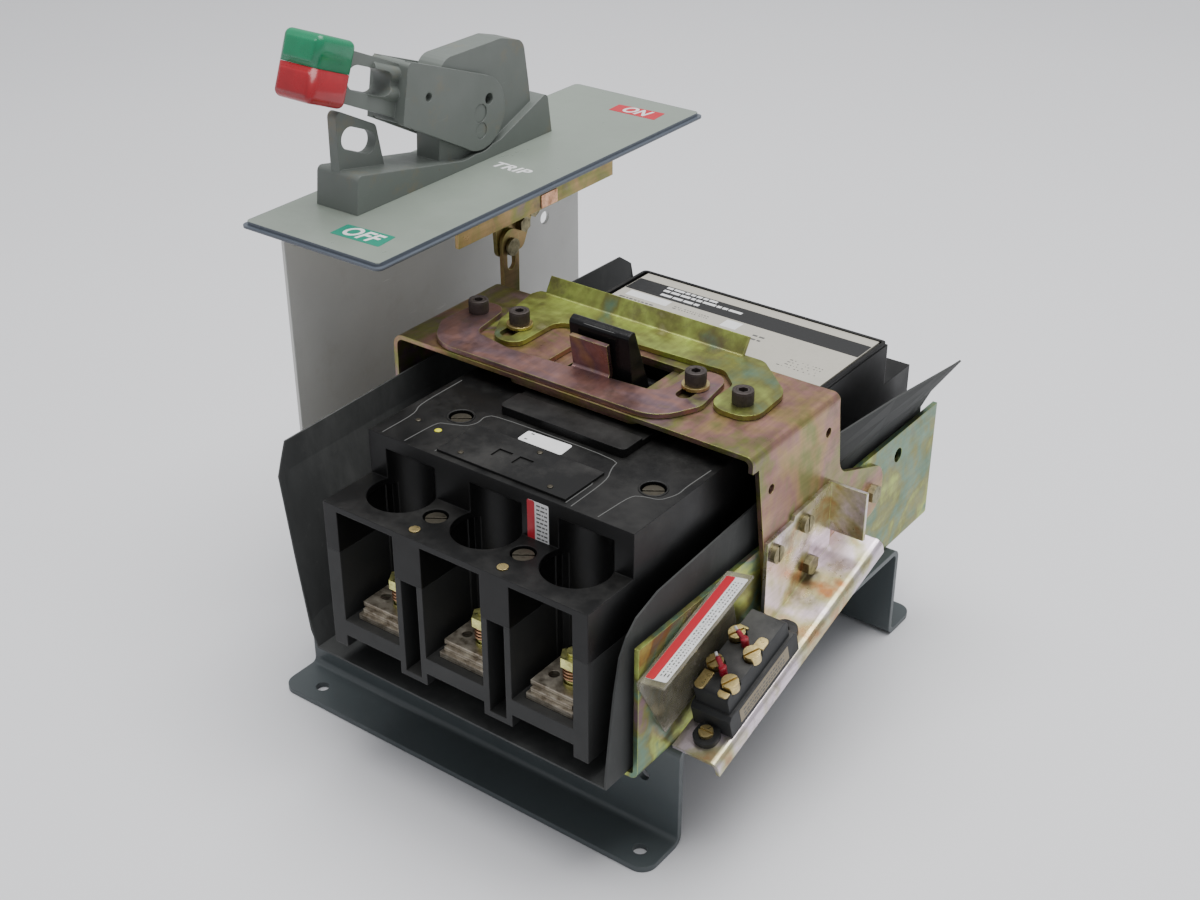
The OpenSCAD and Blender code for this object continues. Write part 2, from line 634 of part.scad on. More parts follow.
module handle_side_plate() {
    bend = 4;
    path = [[left_leg_x - 2, deck_z], [left_plate_x, deck_z, bend], [left_plate_x, plate_z, bend],
        [left_plate_x + 30, plate_z]];
    color("whitesmoke") at_case() difference() {
        along_y(plate_y + 4, plate_y + plate_l - 34) polygon(bent(path, -2));
        box([left_plate_x + 5, bridge_front - 6, deck_z - 1], [0, bridge_rear + 6, deck_z + 4]);
        hole_x(plate_y + 213, plate_z - 58, 4, left_plate_x);
        hole_x(plate_y + 192, plate_z - 40, 2.5, left_plate_x);
    }
}
module faceplate() {
    x1 = plate_x + plate_w;
    y1 = plate_y + plate_l;
    edge = 2;
    round_r = 4;
    color("#9fb0a5") at_case() {
        along_z(plate_z + 1.2, plate_top) polygon(rounded([[plate_x + edge, plate_y + edge, round_r - 1],
            [x1 - edge, plate_y + edge, round_r - 1], [x1 - edge, y1 - edge, round_r - 1],
            [plate_x + edge, y1 - edge, round_r - 1]]));
        along_z(plate_z, plate_z + 1.2) polygon(rounded([[plate_x, plate_y, round_r], [x1, plate_y,
            round_r],
            [x1, y1, round_r], [plate_x, y1, round_r]]));
    }
}

base_x = [handle_x, handle_x + handle_w];
// How far the casting's foot stands out to the left of the lever
cast_lip = 3;
tower_x = [base_x[0] + cheek_t + 0.5, base_x[1] - cheek_t - 0.5];
module handle_base() {
    z = plate_top;
    y = pivot_y;
    wedge = rounded([[y - 98.5, z], [y - 96, z + 20.6, 3], [y - 76, z + 16.6, 6],
        [y - 14, z + 4.5, lever_r + 2], [y + 16, z + 8, 8], [y + 58, z + 24, 3], [y + 61.5, z]]);
    tower = rounded([[y - 30, z + 2], [y - 26.5, z + 61.7, 10], [y + 24.5, z + 61.7, 8], [y + 43.5,
        z + 56.2, 8],
        [y + 47.5, z + 30], [y + 50, z + 2]]);
    fin = rounded([[y - 95.5, z + 10], [y - 95, z + 52, 3], [y - 67, z + 37, 4], [y - 62, z + 10]]);
    color("#7f8886") at_case() difference() {
        union() {
            along_x(base_x[0] - cast_lip, base_x[1]) polygon(wedge);
            along_x(tower_x[0], tower_x[1]) polygon(tower);
            along_x(handle_x + 6, handle_x + 12) polygon(fin);
        }
        along_x(handle_x + 5, handle_x + 13) translate([y - 80, z + 32]) rotate(-24) slot2(14, 6);
        translate([0, y, pivot_z]) rotate([0, 90, 0]) translate([0, 0, base_x[0] - 10])
            cylinder(r = 5 + hole_clear, h = handle_w + 20);
        lever_sweep_cut();
    }
}
// The round space below the cheeks, on both sides of the tower
module lever_sweep_cut() {
    for (x = [[base_x[0] - cast_lip - 1, tower_x[0]], [tower_x[1], base_x[1] + 1]]) {
        translate([x[0], pivot_y, pivot_z]) rotate([0, 90, 0]) cylinder(r = lever_r + 1.5, h = x[1] - x[0]);
    }
}
module pivot_pin() {
    color("#6d7472") at_case() translate([tower_x[0], pivot_y, pivot_z]) rotate([0, 90, 0])
        translate([0, 0, -cheek_t]) cylinder(r = 5, h = handle_w - 1);
}

// Places children drawn in the lever's own frame: -Y to the knob, +Z across its height
module on_lever() { at_case() translate([0, pivot_y, pivot_z]) rotate([-lever_rest, 0, 0]) children(); }
neck_x = [handle_x + 7, handle_x + 19];
module handle_lever() {
    root = -58;
    neck = rounded([[root + 1, 16], [root + 1, -11], [-lever_l, -8], [-lever_l, 18]]);
    color("#858e8c") on_lever() difference() {
        union() {
            for (x = [base_x[0], base_x[1] - cheek_t]) along_x(x, x + cheek_t) lever_cheek(root);
            along_x(base_x[0], base_x[1]) polygon(rounded([[root + 2, 18.5], [root + 2, -12.8],
                [root - 2, -13.5, 3], [root - 8, 18.5, 3]]));
            along_x(neck_x[0], neck_x[1]) polygon(neck);
            for (v = [11, 1]) translate([neck_x[1] - 2, root - 4, v]) rotate([90, 0, 0])
                cylinder(r = 4.2, h = 22);
        }
        along_x(neck_x[0] - 1, neck_x[1] + 5) translate([root - 27, 5]) slot2(19, 6.5);
        cross_hole(0, 0, 5 + pin_clear, base_x[0] - 1, handle_w + 2);
        cross_hole(4.5, 8.5, 3.2, base_x[0] - 1, handle_w + 2);
        cross_hole(-45, 3, 2.4, base_x[0] - 1, handle_w + 2);
        cross_hole(rivet_at[0], rivet_at[1], rivet_r + pin_clear, base_x[1] - cheek_t - 1, cheek_t + 2);
    }
}
// A hole or rivet across the lever, at (y, z) in its frame, from x on
module cross_hole(y, z, r, x, length) {
    translate([x, y, z]) rotate([0, 90, 0]) cylinder(r = r, h = length);
}
rivet_at = [3.7, -9];
rivet_r = 4.4;
// One cheek in the lever's frame: a round end at the pivot and straight sides to the root
module lever_cheek(root) {
    circle(lever_r, $fn = 96);
    polygon([[0, lever_r], [root - 6, 18.5], [root - 2, -13.5], [0, -lever_r]]);
}
// The knob's shape in the lever's frame, between two heights
module knob_part(v0, v1) {
    low = [-lever_l - knob_l, 5.5 - knob_h / 2];
    intersection() {
        along_x(handle_x, handle_x + 26) polygon(rounded([[low[0], low[1], 3], [-lever_l, low[1] + 1, 3],
            [-lever_l, low[1] + knob_h - 1, 3], [low[0], low[1] + knob_h, 3]]));
        along_z(v0, v1) polygon(rounded([[handle_x, low[0], 4], [handle_x + 26, low[0], 4],
            [handle_x + 26, -lever_l, 4], [handle_x, -lever_l, 4]]));
    }
}
module knob_top() { color("#0f8f62") on_lever() knob_part(6, 60); }
module knob_bottom() { color("#c01f2c") on_lever() knob_part(-60, 6); }
module lever_rivet() {
    color("#8e9694") on_lever() cross_hole(rivet_at[0], rivet_at[1], rivet_r, base_x[1] - cheek_t,
        cheek_t - 0.3);
}

// Plated frame that hangs under the faceplate and guides the drive link
frame_x = -60;
link_y = pivot_y - 7.5;
module mechanism_frame() {
    z = plate_z;
    color("#b0a55e") at_case() difference() {
        union() {
            along_y(link_y - 66, link_y + 66) polygon(bent([[frame_x + 26, z - 12], [frame_x + 26, z, 3],
                [frame_x, z, 3], [frame_x, z - 12]], sheet_t));
            along_x(frame_x, frame_x + sheet_t) polygon(rounded([[link_y - 10, z - 11], [link_y - 8,
                z - 44, 5],
                [link_y + 14, z - 44, 5], [link_y + 30, z - 11]]));
        }
        for (p = frame_bolt_at) hole_x(p[0], p[1], 2.5 + hole_clear, frame_x);
        hole_x(link_y, plate_z - 38, stud_r + hole_clear, frame_x);
    }
}
frame_bolt_at = [[link_y + 21, plate_z - 23], [link_y + 12.5, plate_z - 29]];
module frame_bolts() {
    color("#6b6647") at_case() {
        for (p = frame_bolt_at) translate([frame_x + sheet_t, p[0], p[1]]) rotate([0, 90, 0]) {
            hex_head(4.6, 3.5);
            translate([0, 0, -sheet_t]) cylinder(r = 2.5, h = sheet_t);
        }
        translate([frame_x, link_y, plate_z - 38]) rotate([0, 90, 0]) {
            cylinder(r = stud_r, h = 2 * sheet_t + 1);
            translate([0, 0, 2 * sheet_t + 1]) cylinder(r = 5, h = 1.5);
        }
    }
}
module drive_link() {
    x0 = frame_x + sheet_t + slide_clear;
    color("#97a35a") at_case() along_x(x0, x0 + sheet_t) difference() {
        polygon(rounded([[link_y - 7, plate_z - 28, 7], [link_y + 7, plate_z - 28, 7],
            [link_y + 6, deck_z + 45, 6], [link_y - 6, deck_z + 45, 6]]));
        translate([link_y, plate_z - 43]) rotate(90) slot2(11, stud_r + slide_clear);
    }
}

// ---- auxiliary switch -------------------------------------------------------

tray_at = [bridge_front - 58.5, deck_z + 4];
tray_l = 152;
// Places children in the tray's frame: origin at its low inner corner, +Y up the slope
module on_tray() { at_case() translate([leg_x, tray_at[0], tray_at[1]]) rotate([tray_tilt, 0, 0])
    children(); }
bracket_screw_at = [[bridge_front + 20, side_z - 3], [bridge_front + 47, side_z]];
module switch_bracket() {
    rise = tan(tray_tilt);
    foot = function (y) tray_at[1] + (y - tray_at[0]) * rise;
    y0 = bridge_front + 13.5;
    y1 = bridge_front + 73.5;
    color("#c2a585") union() {
        on_tray() difference() {
            along_y(0, tray_l) polygon(bent([[0, 0], [tray_w, 0, 3.5], [tray_w, -6]], bracket_t));
            for (y = ear_y) hole_z(ear_x, y, ear_r, 0);
        }
        at_case() difference() {
            union() {
                along_x(leg_x, leg_x + bracket_t) polygon([[y0, foot(y0)], [y1, foot(y1)], [y1,
                    side_z + 10.5],
                    [y0 + 24, side_z + 8.5], [y0 + 23, side_z + 6], [y0, side_z + 5]]);
                box([leg_x, y1 - 2, side_z - 16], [leg_x + 21, y1, side_z + 10.5]);
            }
            for (p = bracket_screw_at) hole_x(p[0], p[1], 2.5 + hole_clear, leg_x);
            hole_x(bridge_screw_at[0][0], bridge_screw_at[0][1], stud_r + hole_clear, leg_x);
        }
    }
}
module bracket_screws() {
    color("#4a4636") at_case() for (p = bracket_screw_at) {
        translate([leg_x + bracket_t, p[0], p[1]]) rotate([0, 90, 0]) {
            slotted_head(4.6, 2.6);
            translate([0, 0, -bracket_t - sheet_t]) cylinder(r = 2.5, h = bracket_t + sheet_t);
        }
    }
}
switch_x = [1.4, 1.4 + switch_w];
switch_y = [16, switch_l];
// The switch's two fixing ears, with the screw holes in the tray under them
ear_x = (switch_x[0] + switch_x[1]) / 2;
ear_y = [switch_y[0] - 5, switch_y[1] + 5];
ear_r = 2;
switch_step = 13;
switch_top = switch_h + 2;
module switch_body() {
    y = switch_y;
    foot = 2;
    ear_t = 3;
    color("#34373a") on_tray() difference() {
        union() {
            along_x(switch_x[0], switch_x[1]) polygon([[y[0], foot], [y[1], foot], [y[1],
                foot + switch_step - 2],
                [y[1] - 2, foot + switch_step], [y[0] + 2, foot + switch_step], [y[0],
                    foot + switch_step - 2]]);
            along_x(switch_x[0] + 1.5, switch_x[1] - 1.5) polygon(rounded([[y[0] + 3, foot + 4],
                [y[1] - 4, foot + 4],
                [y[1] - 4, switch_top, 3], [y[0] + 3, switch_top, 3]]));
            for (ear = ear_y) translate([0, 0, foot]) linear_extrude(ear_t)
                polygon(rounded([[ear_x - 6, ear - 6, 5],
                [ear_x + 6, ear - 6, 5], [ear_x + 6, ear + 6, 5], [ear_x - 6, ear + 6, 5]]));
        }
        for (p = terminal_at) translate([p[0], p[1], switch_top - 2]) cylinder(r = 4.6, h = 4);
        for (ear = ear_y) translate([ear_x, ear, 0]) cylinder(r = ear_r + hole_clear, h = foot + ear_t + 1);
    }
}
// The terminals' centres: the outer pair stands nearer the front than the inner pair
terminal_at = [[ear_x - 6.2, 33.4], [ear_x - 6.2, 52], [ear_x + 6.2, 26.5], [ear_x + 6.2, 45]];
module switch_screws() {
    color("#b9a55a") on_tray() {
        for (p = terminal_at) translate([p[0], p[1], switch_top - 2]) rotate([0, 0, 60])
            slotted_head(4, 5.2);
        translate([ear_x, ear_y[0], 5]) {
            slotted_head(3.4, 2.2);
            translate([0, 0, -5 - bracket_t]) cylinder(r = ear_r, h = 5 + bracket_t);
        }
    }
}
// Flat spade clips beside the front and the rear pair of terminals
module switch_clips() {
    ends = [[terminal_at[0], -15], [terminal_at[1], 6], [terminal_at[2], -8], [terminal_at[3], 11]];
    color("#cdb64a") on_tray() for (e = ends) let (side = sign(e[1]))
        along_z(switch_top, switch_top + 1) polygon(rounded([
            [e[0][0] - 2.6, e[0][1] + side * 4.8], [e[0][0] + 2.6, e[0][1] + side * 4.8],
            [e[0][0] + 2.6, e[0][1] + e[1], 2], [e[0][0] - 2.6, e[0][1] + e[1], 2]]));
}
module switch_leads() {
    color("#b5242f") on_tray() for (y = [terminal_at[2][1] + 4, terminal_at[3][1] + 4]) {
        translate([ear_x, y, switch_top]) cylinder(r = 1.9, h = 5);
    }
}
module switch_cover() {
    t = 1.2;
    y = bridge_front;
    color("#c8b890", 0.5) at_case() translate([side_x, y - 84.5, side_z - 15]) rotate([15.8, 0, 0])
        difference() {
        along_y(0, 72) polygon(bent([[0, -46], [0, 0, 2], [15, 4]], -t));
        along_x(-1, t + 1) polygon([[-1, -2], [10, -47], [-1, -47]]);
    }
}

base_pan();
insulating_barrier();
pan_side_plate();
case_spacers();
case_base();
case_cover();
escutcheon();
access_panel();
label_plate();
line_terminals();
line_terminal_bolts();
load_terminals();
load_terminal_bolts();
cover_screws();
ledge_inserts();
toggle_handle();
bridge_bracket();
bridge_screws();
front_slide_plate();
rear_slide_plate();
slide_bolts();
slide_carriage();
guide_bolts();
guide_washers();
handle_side_plate();
faceplate();
handle_base();
pivot_pin();
handle_lever();
knob_top();
knob_bottom();
lever_rivet();
mechanism_frame();
frame_bolts();
drive_link();
switch_bracket();
bracket_screws();
switch_body();
switch_screws();
switch_clips();
switch_leads();
switch_cover();
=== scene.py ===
# %% [markdown]
# # A three-pole breaker with its operating bridge and flange handle
# The metal and moulded bodies come from CAD and stay exactly as they are. Blender adds what CAD leaves out:
# finishes, printed words, springs, knurling and engraving. Everything is in metres, in the CAD frame.

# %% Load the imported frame
import math

import bpy
import numpy as np
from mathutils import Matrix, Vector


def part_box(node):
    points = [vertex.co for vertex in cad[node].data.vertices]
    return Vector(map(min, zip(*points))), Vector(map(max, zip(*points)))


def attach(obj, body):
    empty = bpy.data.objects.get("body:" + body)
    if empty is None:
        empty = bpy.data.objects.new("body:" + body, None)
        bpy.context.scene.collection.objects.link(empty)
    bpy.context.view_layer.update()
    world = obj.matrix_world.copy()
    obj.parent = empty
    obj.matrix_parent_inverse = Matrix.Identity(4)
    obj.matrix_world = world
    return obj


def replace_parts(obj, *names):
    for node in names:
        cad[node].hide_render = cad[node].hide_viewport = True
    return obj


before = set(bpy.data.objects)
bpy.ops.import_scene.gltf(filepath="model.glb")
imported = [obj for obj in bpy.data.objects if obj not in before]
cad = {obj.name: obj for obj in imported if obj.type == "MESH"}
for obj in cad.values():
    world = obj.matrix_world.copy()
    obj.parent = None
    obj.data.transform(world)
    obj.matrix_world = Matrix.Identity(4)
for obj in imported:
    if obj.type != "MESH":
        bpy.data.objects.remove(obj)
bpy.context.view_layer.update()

# %% [markdown]
# ## A ruler for the bench
# Most parts are described from the breaker case, so a small helper turns millimetres from the case's front left
# corner, with heights above the floor, into the shared frame. The case's box gives the corner.

# %% Ruler
case_low, case_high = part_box("case_base")[0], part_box("case_cover")[1]
TOP = case_high.z * 1000
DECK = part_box("base_pan")[1].z * 1000
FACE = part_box("faceplate")[1].z * 1000


def at(x, y, z):
    """The point x and y mm from the case's front left corner, z mm above the floor, in metres."""
    return np.stack(np.broadcast_arrays(case_low.x + np.asarray(x) / 1000, case_low.y + np.asarray(y) / 1000,
                                        np.asarray(z) / 1000.0), axis=-1).astype(float)


def along(node):
    """A node's lowest and highest corners, in mm from the case's front left corner."""
    low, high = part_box(node)
    shift = np.array([case_low.x, case_low.y, 0])
    return (np.array(low) - shift) * 1000, (np.array(high) - shift) * 1000


print("case top", round(TOP, 1), "deck", round(DECK, 1), "faceplate top", round(FACE, 1))

# %% [markdown]
# ## Camera
# The camera stands in front and to the right, above the unit, and looks down about 30 degrees. Its lens and place
# come from how the real object's own straight edges converge.

# %% Camera
camera_data = bpy.data.cameras.new("camera")
camera_data.sensor_width = 36
camera_data.lens = 51.09
camera = bpy.data.objects.new("camera", camera_data)
camera.location = (0.44415, -0.6114, 0.5624)
camera.rotation_euler = (math.radians(60.09), 0, math.radians(36.543))
camera_data.clip_start, camera_data.clip_end = 0.01, 20
bpy.context.scene.collection.objects.link(camera)
bpy.context.scene.camera = camera

# %% [markdown]
# ## Meshes from numpy arrays
# A shape is a grid of points: rows go along it and columns go round it. One function stitches any such grid into
# quads, so each later piece only has to say where its points are.

# %% Grid to mesh
def surface(name, grid, ring=False, loop=False, caps=False, smooth=True):
    """A mesh of quads over grid[rows, columns, 3]. ring joins the last column to the first, loop the last row to the
    first, and caps closes the first and last row with a fan round their mean points."""
    rows, cols = grid.shape[:2]
    index = np.arange(rows * cols).reshape(rows, cols)
    if ring:
        index = np.hstack([index, index[:, :1]])
    if loop:
        index = np.vstack([index, index[:1]])
    quads = np.stack([index[:-1, :-1], index[:-1, 1:], index[1:, 1:], index[1:, :-1]], axis=-1).reshape(-1, 4)
    points = grid.reshape(-1, 3)
    fans = np.zeros((0, 3), int)
    if caps:
        points = np.vstack([points, grid[0].mean(0), grid[-1].mean(0)])
        first, last = index[0], index[-1]
        low, high = len(points) - 2, len(points) - 1
        fans = np.vstack([np.stack([first[1:], first[:-1], np.full(len(first) - 1, low)], 1),
                          np.stack([last[:-1], last[1:], np.full(len(last) - 1, high)], 1)])
    return mesh_object(name, points, quads, fans, smooth)


def mesh_object(name, points, quads, triangles, smooth=True):
    """Puts points, quads and triangles into a new mesh object that sits at the origin."""
    mesh = bpy.data.meshes.new(name)
    mesh.vertices.add(len(points))
    mesh.vertices.foreach_set("co", np.asarray(points, np.float32).ravel())
    corners = np.concatenate([quads.ravel(), triangles.ravel()]).astype(np.int32)
    counts = np.concatenate([np.full(len(quads), 4), np.full(len(triangles), 3)]).astype(np.int32)
    starts = (np.cumsum(counts) - counts).astype(np.int32)
    mesh.loops.add(len(corners))
    mesh.loops.foreach_set("vertex_index", corners)
    mesh.polygons.add(len(counts))
    mesh.polygons.foreach_set("loop_start", starts)
    mesh.polygons.foreach_set("loop_total", counts)
    mesh.polygons.foreach_set("use_smooth", np.full(len(counts), smooth))
    mesh.update(calc_edges=True)
    mesh.validate()
    piece = bpy.data.objects.new(name, mesh)
    bpy.context.scene.collection.objects.link(piece)
    return piece


def joined(name, parts):
    """One object from several, so that a row of equal details is one piece."""
    bpy.ops.object.select_all(action="DESELECT")
    for part in parts:
        part.select_set(True)
    bpy.context.view_layer.objects.active = parts[0]
    bpy.ops.object.join()
    parts[0].name = name
    return parts[0]


def dressed(piece, finish, body):
    """Gives a piece its finish and the body it moves with."""
    piece.data.materials.clear()
    piece.data.materials.append(finish.material)
    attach(piece, body)
    print("made", piece.name, len(piece.data.polygons), "faces")
    return piece


# %% [markdown]
# ## How a finish is built
# Real surfaces are never one flat colour. Each finish here starts from a Principled shader, and patterns on object
# coordinates drive its colour, its roughness and a fine relief. A shader that rounds edges finds where metal is worn.

# %% Finish builder
class Finish:
    """One procedural material: a Principled shader and the patterns that feed it."""

    def __init__(self, name, colour, metallic=0.0, roughness=0.5, **sockets):
        self.material = bpy.data.materials.new(name)
        self.material.use_nodes = True
        self.tree = self.material.node_tree
        self.shader = next(n for n in self.tree.nodes if n.type == "BSDF_PRINCIPLED")
        self.place = self.tree.nodes.new("ShaderNodeTexCoord").outputs["Object"]
        self.socket("Base Color").default_value = (*colour, 1)
        self.socket("Metallic").default_value = metallic
        self.socket("Roughness").default_value = roughness
        for key, value in sockets.items():
            self.socket(key.replace("_", " ")).default_value = value
        self.rounding = None

    def socket(self, name):
        return self.shader.inputs[name]

    def link(self, source, target):
        self.tree.links.new(source, target)

    def moved(self, stretch=(1, 1, 1), shift=(0, 0, 0), turn=(0, 0, 0)):
        """The object's coordinates, stretched, turned and shifted."""
        mapping = self.tree.nodes.new("ShaderNodeMapping")
        mapping.inputs["Scale"].default_value = stretch
        mapping.inputs["Location"].default_value = shift
        mapping.inputs["Rotation"].default_value = turn
        self.link(self.place, mapping.inputs["Vector"])
        return mapping.outputs[0]

    def noise(self, size, detail=4, rough=0.55, stretch=(1, 1, 1), shift=(0, 0, 0), warp=0.0, turn=(0, 0, 0)):
        """Cloudy noise whose largest clouds are about size mm."""
        noise = self.tree.nodes.new("ShaderNodeTexNoise")
        noise.inputs["Scale"].default_value = 1000 / size
        noise.inputs["Detail"].default_value = detail
        noise.inputs["Roughness"].default_value = rough
        noise.inputs["Distortion"].default_value = warp
        self.link(self.moved(stretch, shift, turn), noise.inputs["Vector"])
        return noise.outputs["Fac"]

    def cells(self, size, shift=(0, 0, 0)):
        """Distance to the nearest of many scattered points, about size mm apart."""
        cells = self.tree.nodes.new("ShaderNodeTexVoronoi")
        cells.inputs["Scale"].default_value = 1000 / size
        self.link(self.moved(shift=shift), cells.inputs["Vector"])
        return cells.outputs["Distance"]

    def ramp(self, value, stops):
        """A colour for each value: stops are (position, colour or grey)."""
        ramp = self.tree.nodes.new("ShaderNodeValToRGB")
        points = ramp.color_ramp.elements
        while len(points) < len(stops):
            points.new(0.5)
        for point, (position, colour) in zip(points, stops):
            point.position = position
            point.color = (colour, colour, colour, 1) if isinstance(colour, (int, float)) else (*colour, 1)
        self.link(value, ramp.inputs["Fac"])
        return ramp.outputs["Color"]

    def mixed(self, share, a, b, kind="MIX"):
        """a and b mixed by share: each is a socket or a colour."""
        mix = self.tree.nodes.new("ShaderNodeMix")
        mix.data_type = "RGBA"
        mix.blend_type = kind
        for value, name in ((a, 6), (b, 7)):
            if isinstance(value, tuple):
                mix.inputs[name].default_value = (*value, 1)
            else:
                self.link(value, mix.inputs[name])
        if isinstance(share, (int, float)):
            mix.inputs[0].default_value = share
        else:
            self.link(share, mix.inputs[0])
        return mix.outputs[2]

    def maths(self, kind, a, b=0.5, clamp=False):
        """One arithmetic step on values or sockets."""
        step = self.tree.nodes.new("ShaderNodeMath")
        step.operation = kind
        step.use_clamp = clamp
        for value, slot in ((a, 0), (b, 1)):
            if isinstance(value, (int, float)):
                step.inputs[slot].default_value = value
            else:
                self.link(value, step.inputs[slot])
        return step.outputs[0]

    def axis(self, name):
        """One coordinate of the point, in metres."""
        split = self.tree.nodes.new("ShaderNodeSeparateXYZ")
        self.link(self.place, split.inputs[0])
        return split.outputs[name]

    def rounded_edges(self, radius):
        """Makes sharp edges look rounded by radius mm."""
        bevel = self.tree.nodes.new("ShaderNodeBevel")
        bevel.samples = 4
        bevel.inputs["Radius"].default_value = radius / 1000
        self.rounding = bevel.outputs["Normal"]
        self.link(self.rounding, self.socket("Normal"))
        return self

    def worn_edges(self, low=0.02, high=0.25):
        """White along edges: where the rounded normal parts from the face's own."""
        face = self.tree.nodes.new("ShaderNodeNewGeometry").outputs["Normal"]
        dot = self.tree.nodes.new("ShaderNodeVectorMath")
        dot.operation = "DOT_PRODUCT"
        self.link(self.rounding, dot.inputs[0])
        self.link(face, dot.inputs[1])
        away = self.maths("SUBTRACT", 1.0, dot.outputs["Value"])
        return self.ramp(away, [(low, 0.0), (high, 1.0)])

    def relief(self, height, depth, strength=1.0):
        """Bumps of about depth mm from a height pattern, over the rounded edges."""
        bump = self.tree.nodes.new("ShaderNodeBump")
        bump.inputs["Distance"].default_value = depth / 1000
        bump.inputs["Strength"].default_value = strength
        self.link(height, bump.inputs["Height"])
        if self.rounding:
            self.link(self.rounding, bump.inputs["Normal"])
        self.link(bump.outputs["Normal"], self.socket("Normal"))
        return self

    def colour(self, source):
        self.link(source, self.socket("Base Color"))
        return self

    def gloss(self, source, low, high):
        """Roughness from low to high by a pattern."""
        self.link(self.ramp(source, [(0.3, low), (0.7, high)]), self.socket("Roughness"))
        return self


# %% [markdown]
# ## Yellow-passivated zinc
# The brackets are zinc plated and dipped in chromate, which leaves a thin film. Its thickness drifts over the sheet,
# so it shows gold, rose, olive and teal in soft clouds, with brighter green along the edges. Broad warped noise runs
# through a strip of those hues, and fine streaks follow the rolling direction. Each bracket has its own strip.

# %% Passivated zinc
GOLD, ROSE, MAUVE = (0.42, 0.28, 0.13), (0.37, 0.20, 0.17), (0.26, 0.17, 0.19)
OLIVE, LIME, TEAL = (0.25, 0.25, 0.08), (0.44, 0.52, 0.13), (0.16, 0.27, 0.19)
# The pale lilac is a painted reflection: light reflected off the tray, put into the colour. The pale yellow is partly
# the film's own tone and partly painted sheen.
PALE_FILM_AND_SHEEN, ORANGE, LILAC_REFLECTION = (0.58, 0.55, 0.33), (0.52, 0.24, 0.10), (0.82, 0.71, 0.78)


def passivated(name, hues, seed, size=70, roughness=0.34):
    """Zinc with a chromate film: hues are met in order as the film thickens. A pale hue is partly painted sheen, and a
    lilac one is a painted reflection.
    """
    f = Finish(name, GOLD, 0.9, roughness)
    f.rounded_edges(0.5)
    film = f.noise(size, 3, 0.55, (1, 1, 0.8), (seed, seed * 0.7, 0), 1.2)
    ripple = f.noise(9, 3, 0.6, shift=(seed, 0, 0))
    thick = f.maths("ADD", film, f.maths("MULTIPLY", f.maths("SUBTRACT", ripple, 0.5), 0.22))
    steps = np.linspace(0.28, 0.74, len(hues))
    tint = f.ramp(thick, [(float(p), h) for p, h in zip(steps, hues)])
    grain = f.noise(2.2, 2, 0.5, (1, 0.04, 1), (seed, 0, 0))
    tint = f.mixed(0.35, tint, f.ramp(grain, [(0.35, 0.55), (0.65, 1.0)]), "MULTIPLY")
    stain = f.ramp(f.noise(26, 6, 0.7, shift=(0, seed, 3)), [(0.56, 0.0), (0.72, 0.75)])
    tint = f.mixed(stain, tint, (0.17, 0.13, 0.09))
    f.colour(f.mixed(f.worn_edges(0.02, 0.3), tint, LIME))
    f.gloss(f.noise(14, 5, 0.65, shift=(seed, 2, 0)), roughness - 0.08, roughness + 0.16)
    return f.relief(grain, 0.02, 0.5)


zinc_bridge = passivated("zinc_bridge", [OLIVE, GOLD, ROSE, OLIVE, MAUVE, LIME], 1.0, 70)
zinc_front = passivated("zinc_front", [LIME, MAUVE, ROSE, MAUVE, GOLD], 2.3, 60)
# The rear plate's last, pale hue is partly painted sheen.
zinc_rear = passivated("zinc_rear", [TEAL, OLIVE, LIME, OLIVE, PALE_FILM_AND_SHEEN], 3.7, 70)
zinc_side = passivated("zinc_side", [MAUVE, OLIVE, TEAL, OLIVE, LIME, TEAL, ROSE], 5.1, 60)
# The tray's pale and lilac hues are painted reflection: they make the sheet as bright as where lamp light reflects off
# it.
zinc_tray = passivated("zinc_tray", [ROSE, ORANGE, PALE_FILM_AND_SHEEN, LILAC_REFLECTION, LILAC_REFLECTION, MAUVE], 6.4, 60, 0.28)
zinc_frame = passivated("zinc_frame", [OLIVE, GOLD, OLIVE, MAUVE], 7.7, 30)
print("six plated finishes")

# %% [markdown]
# ## Plain zinc, brass, copper and blackened steel
# Fasteners are small, so their finishes need finer patterns: turning marks, grime in the recesses and a duller rim.

# %% Fasteners are small, so their finishes need finer patterns: patches of grime, a brighter worn rim and a fine relief.
def small_metal(name, colour, dark, roughness, seed, metallic=1.0, grime=0.6):
    """Turned or stamped metal with grime: two shades of one metal, and dull patches."""
    f = Finish(name, colour, metallic, roughness)
    f.rounded_edges(0.25)
    cloud = f.noise(3.5, 5, 0.65, shift=(seed, 0, 0))
    tint = f.mixed(f.ramp(cloud, [(0.42, 0.0), (0.68, grime)]), colour, dark)
    f.colour(f.mixed(f.worn_edges(0.03, 0.4), tint, tuple(min(1.0, c * 1.35) for c in colour)))
    f.gloss(cloud, roughness - 0.1, roughness + 0.2)
    return f.relief(f.noise(0.9, 3, 0.6), 0.02, 0.5)


bright_zinc = small_metal("bright_zinc", (0.60, 0.60, 0.56), (0.25, 0.24, 0.2), 0.32, 1)
bolt_zinc = small_metal("bolt_zinc", (0.66, 0.66, 0.26), (0.30, 0.26, 0.08), 0.3, 2)
brass = small_metal("brass", (0.70, 0.56, 0.26), (0.25, 0.17, 0.06), 0.3, 3)
copper = small_metal("copper", (0.72, 0.42, 0.26), (0.25, 0.12, 0.06), 0.35, 4)
black_oxide = small_metal("black_oxide", (0.060, 0.048, 0.044), (0.024, 0.018, 0.016), 0.5, 5, 0.5)
dark_zinc = small_metal("dark_zinc", (0.30, 0.27, 0.16), (0.09, 0.08, 0.05), 0.42, 6)
screw_steel = small_metal("screw_steel", (0.10, 0.09, 0.07), (0.03, 0.027, 0.022), 0.45, 7)

# %% [markdown]
# ## Tinned terminal pads
# The pads are stacks of tinned copper leaves. Thin dark lines at each leaf, worked out from the height, and a mottled
# dull tin with copper showing through make them read as a stack.

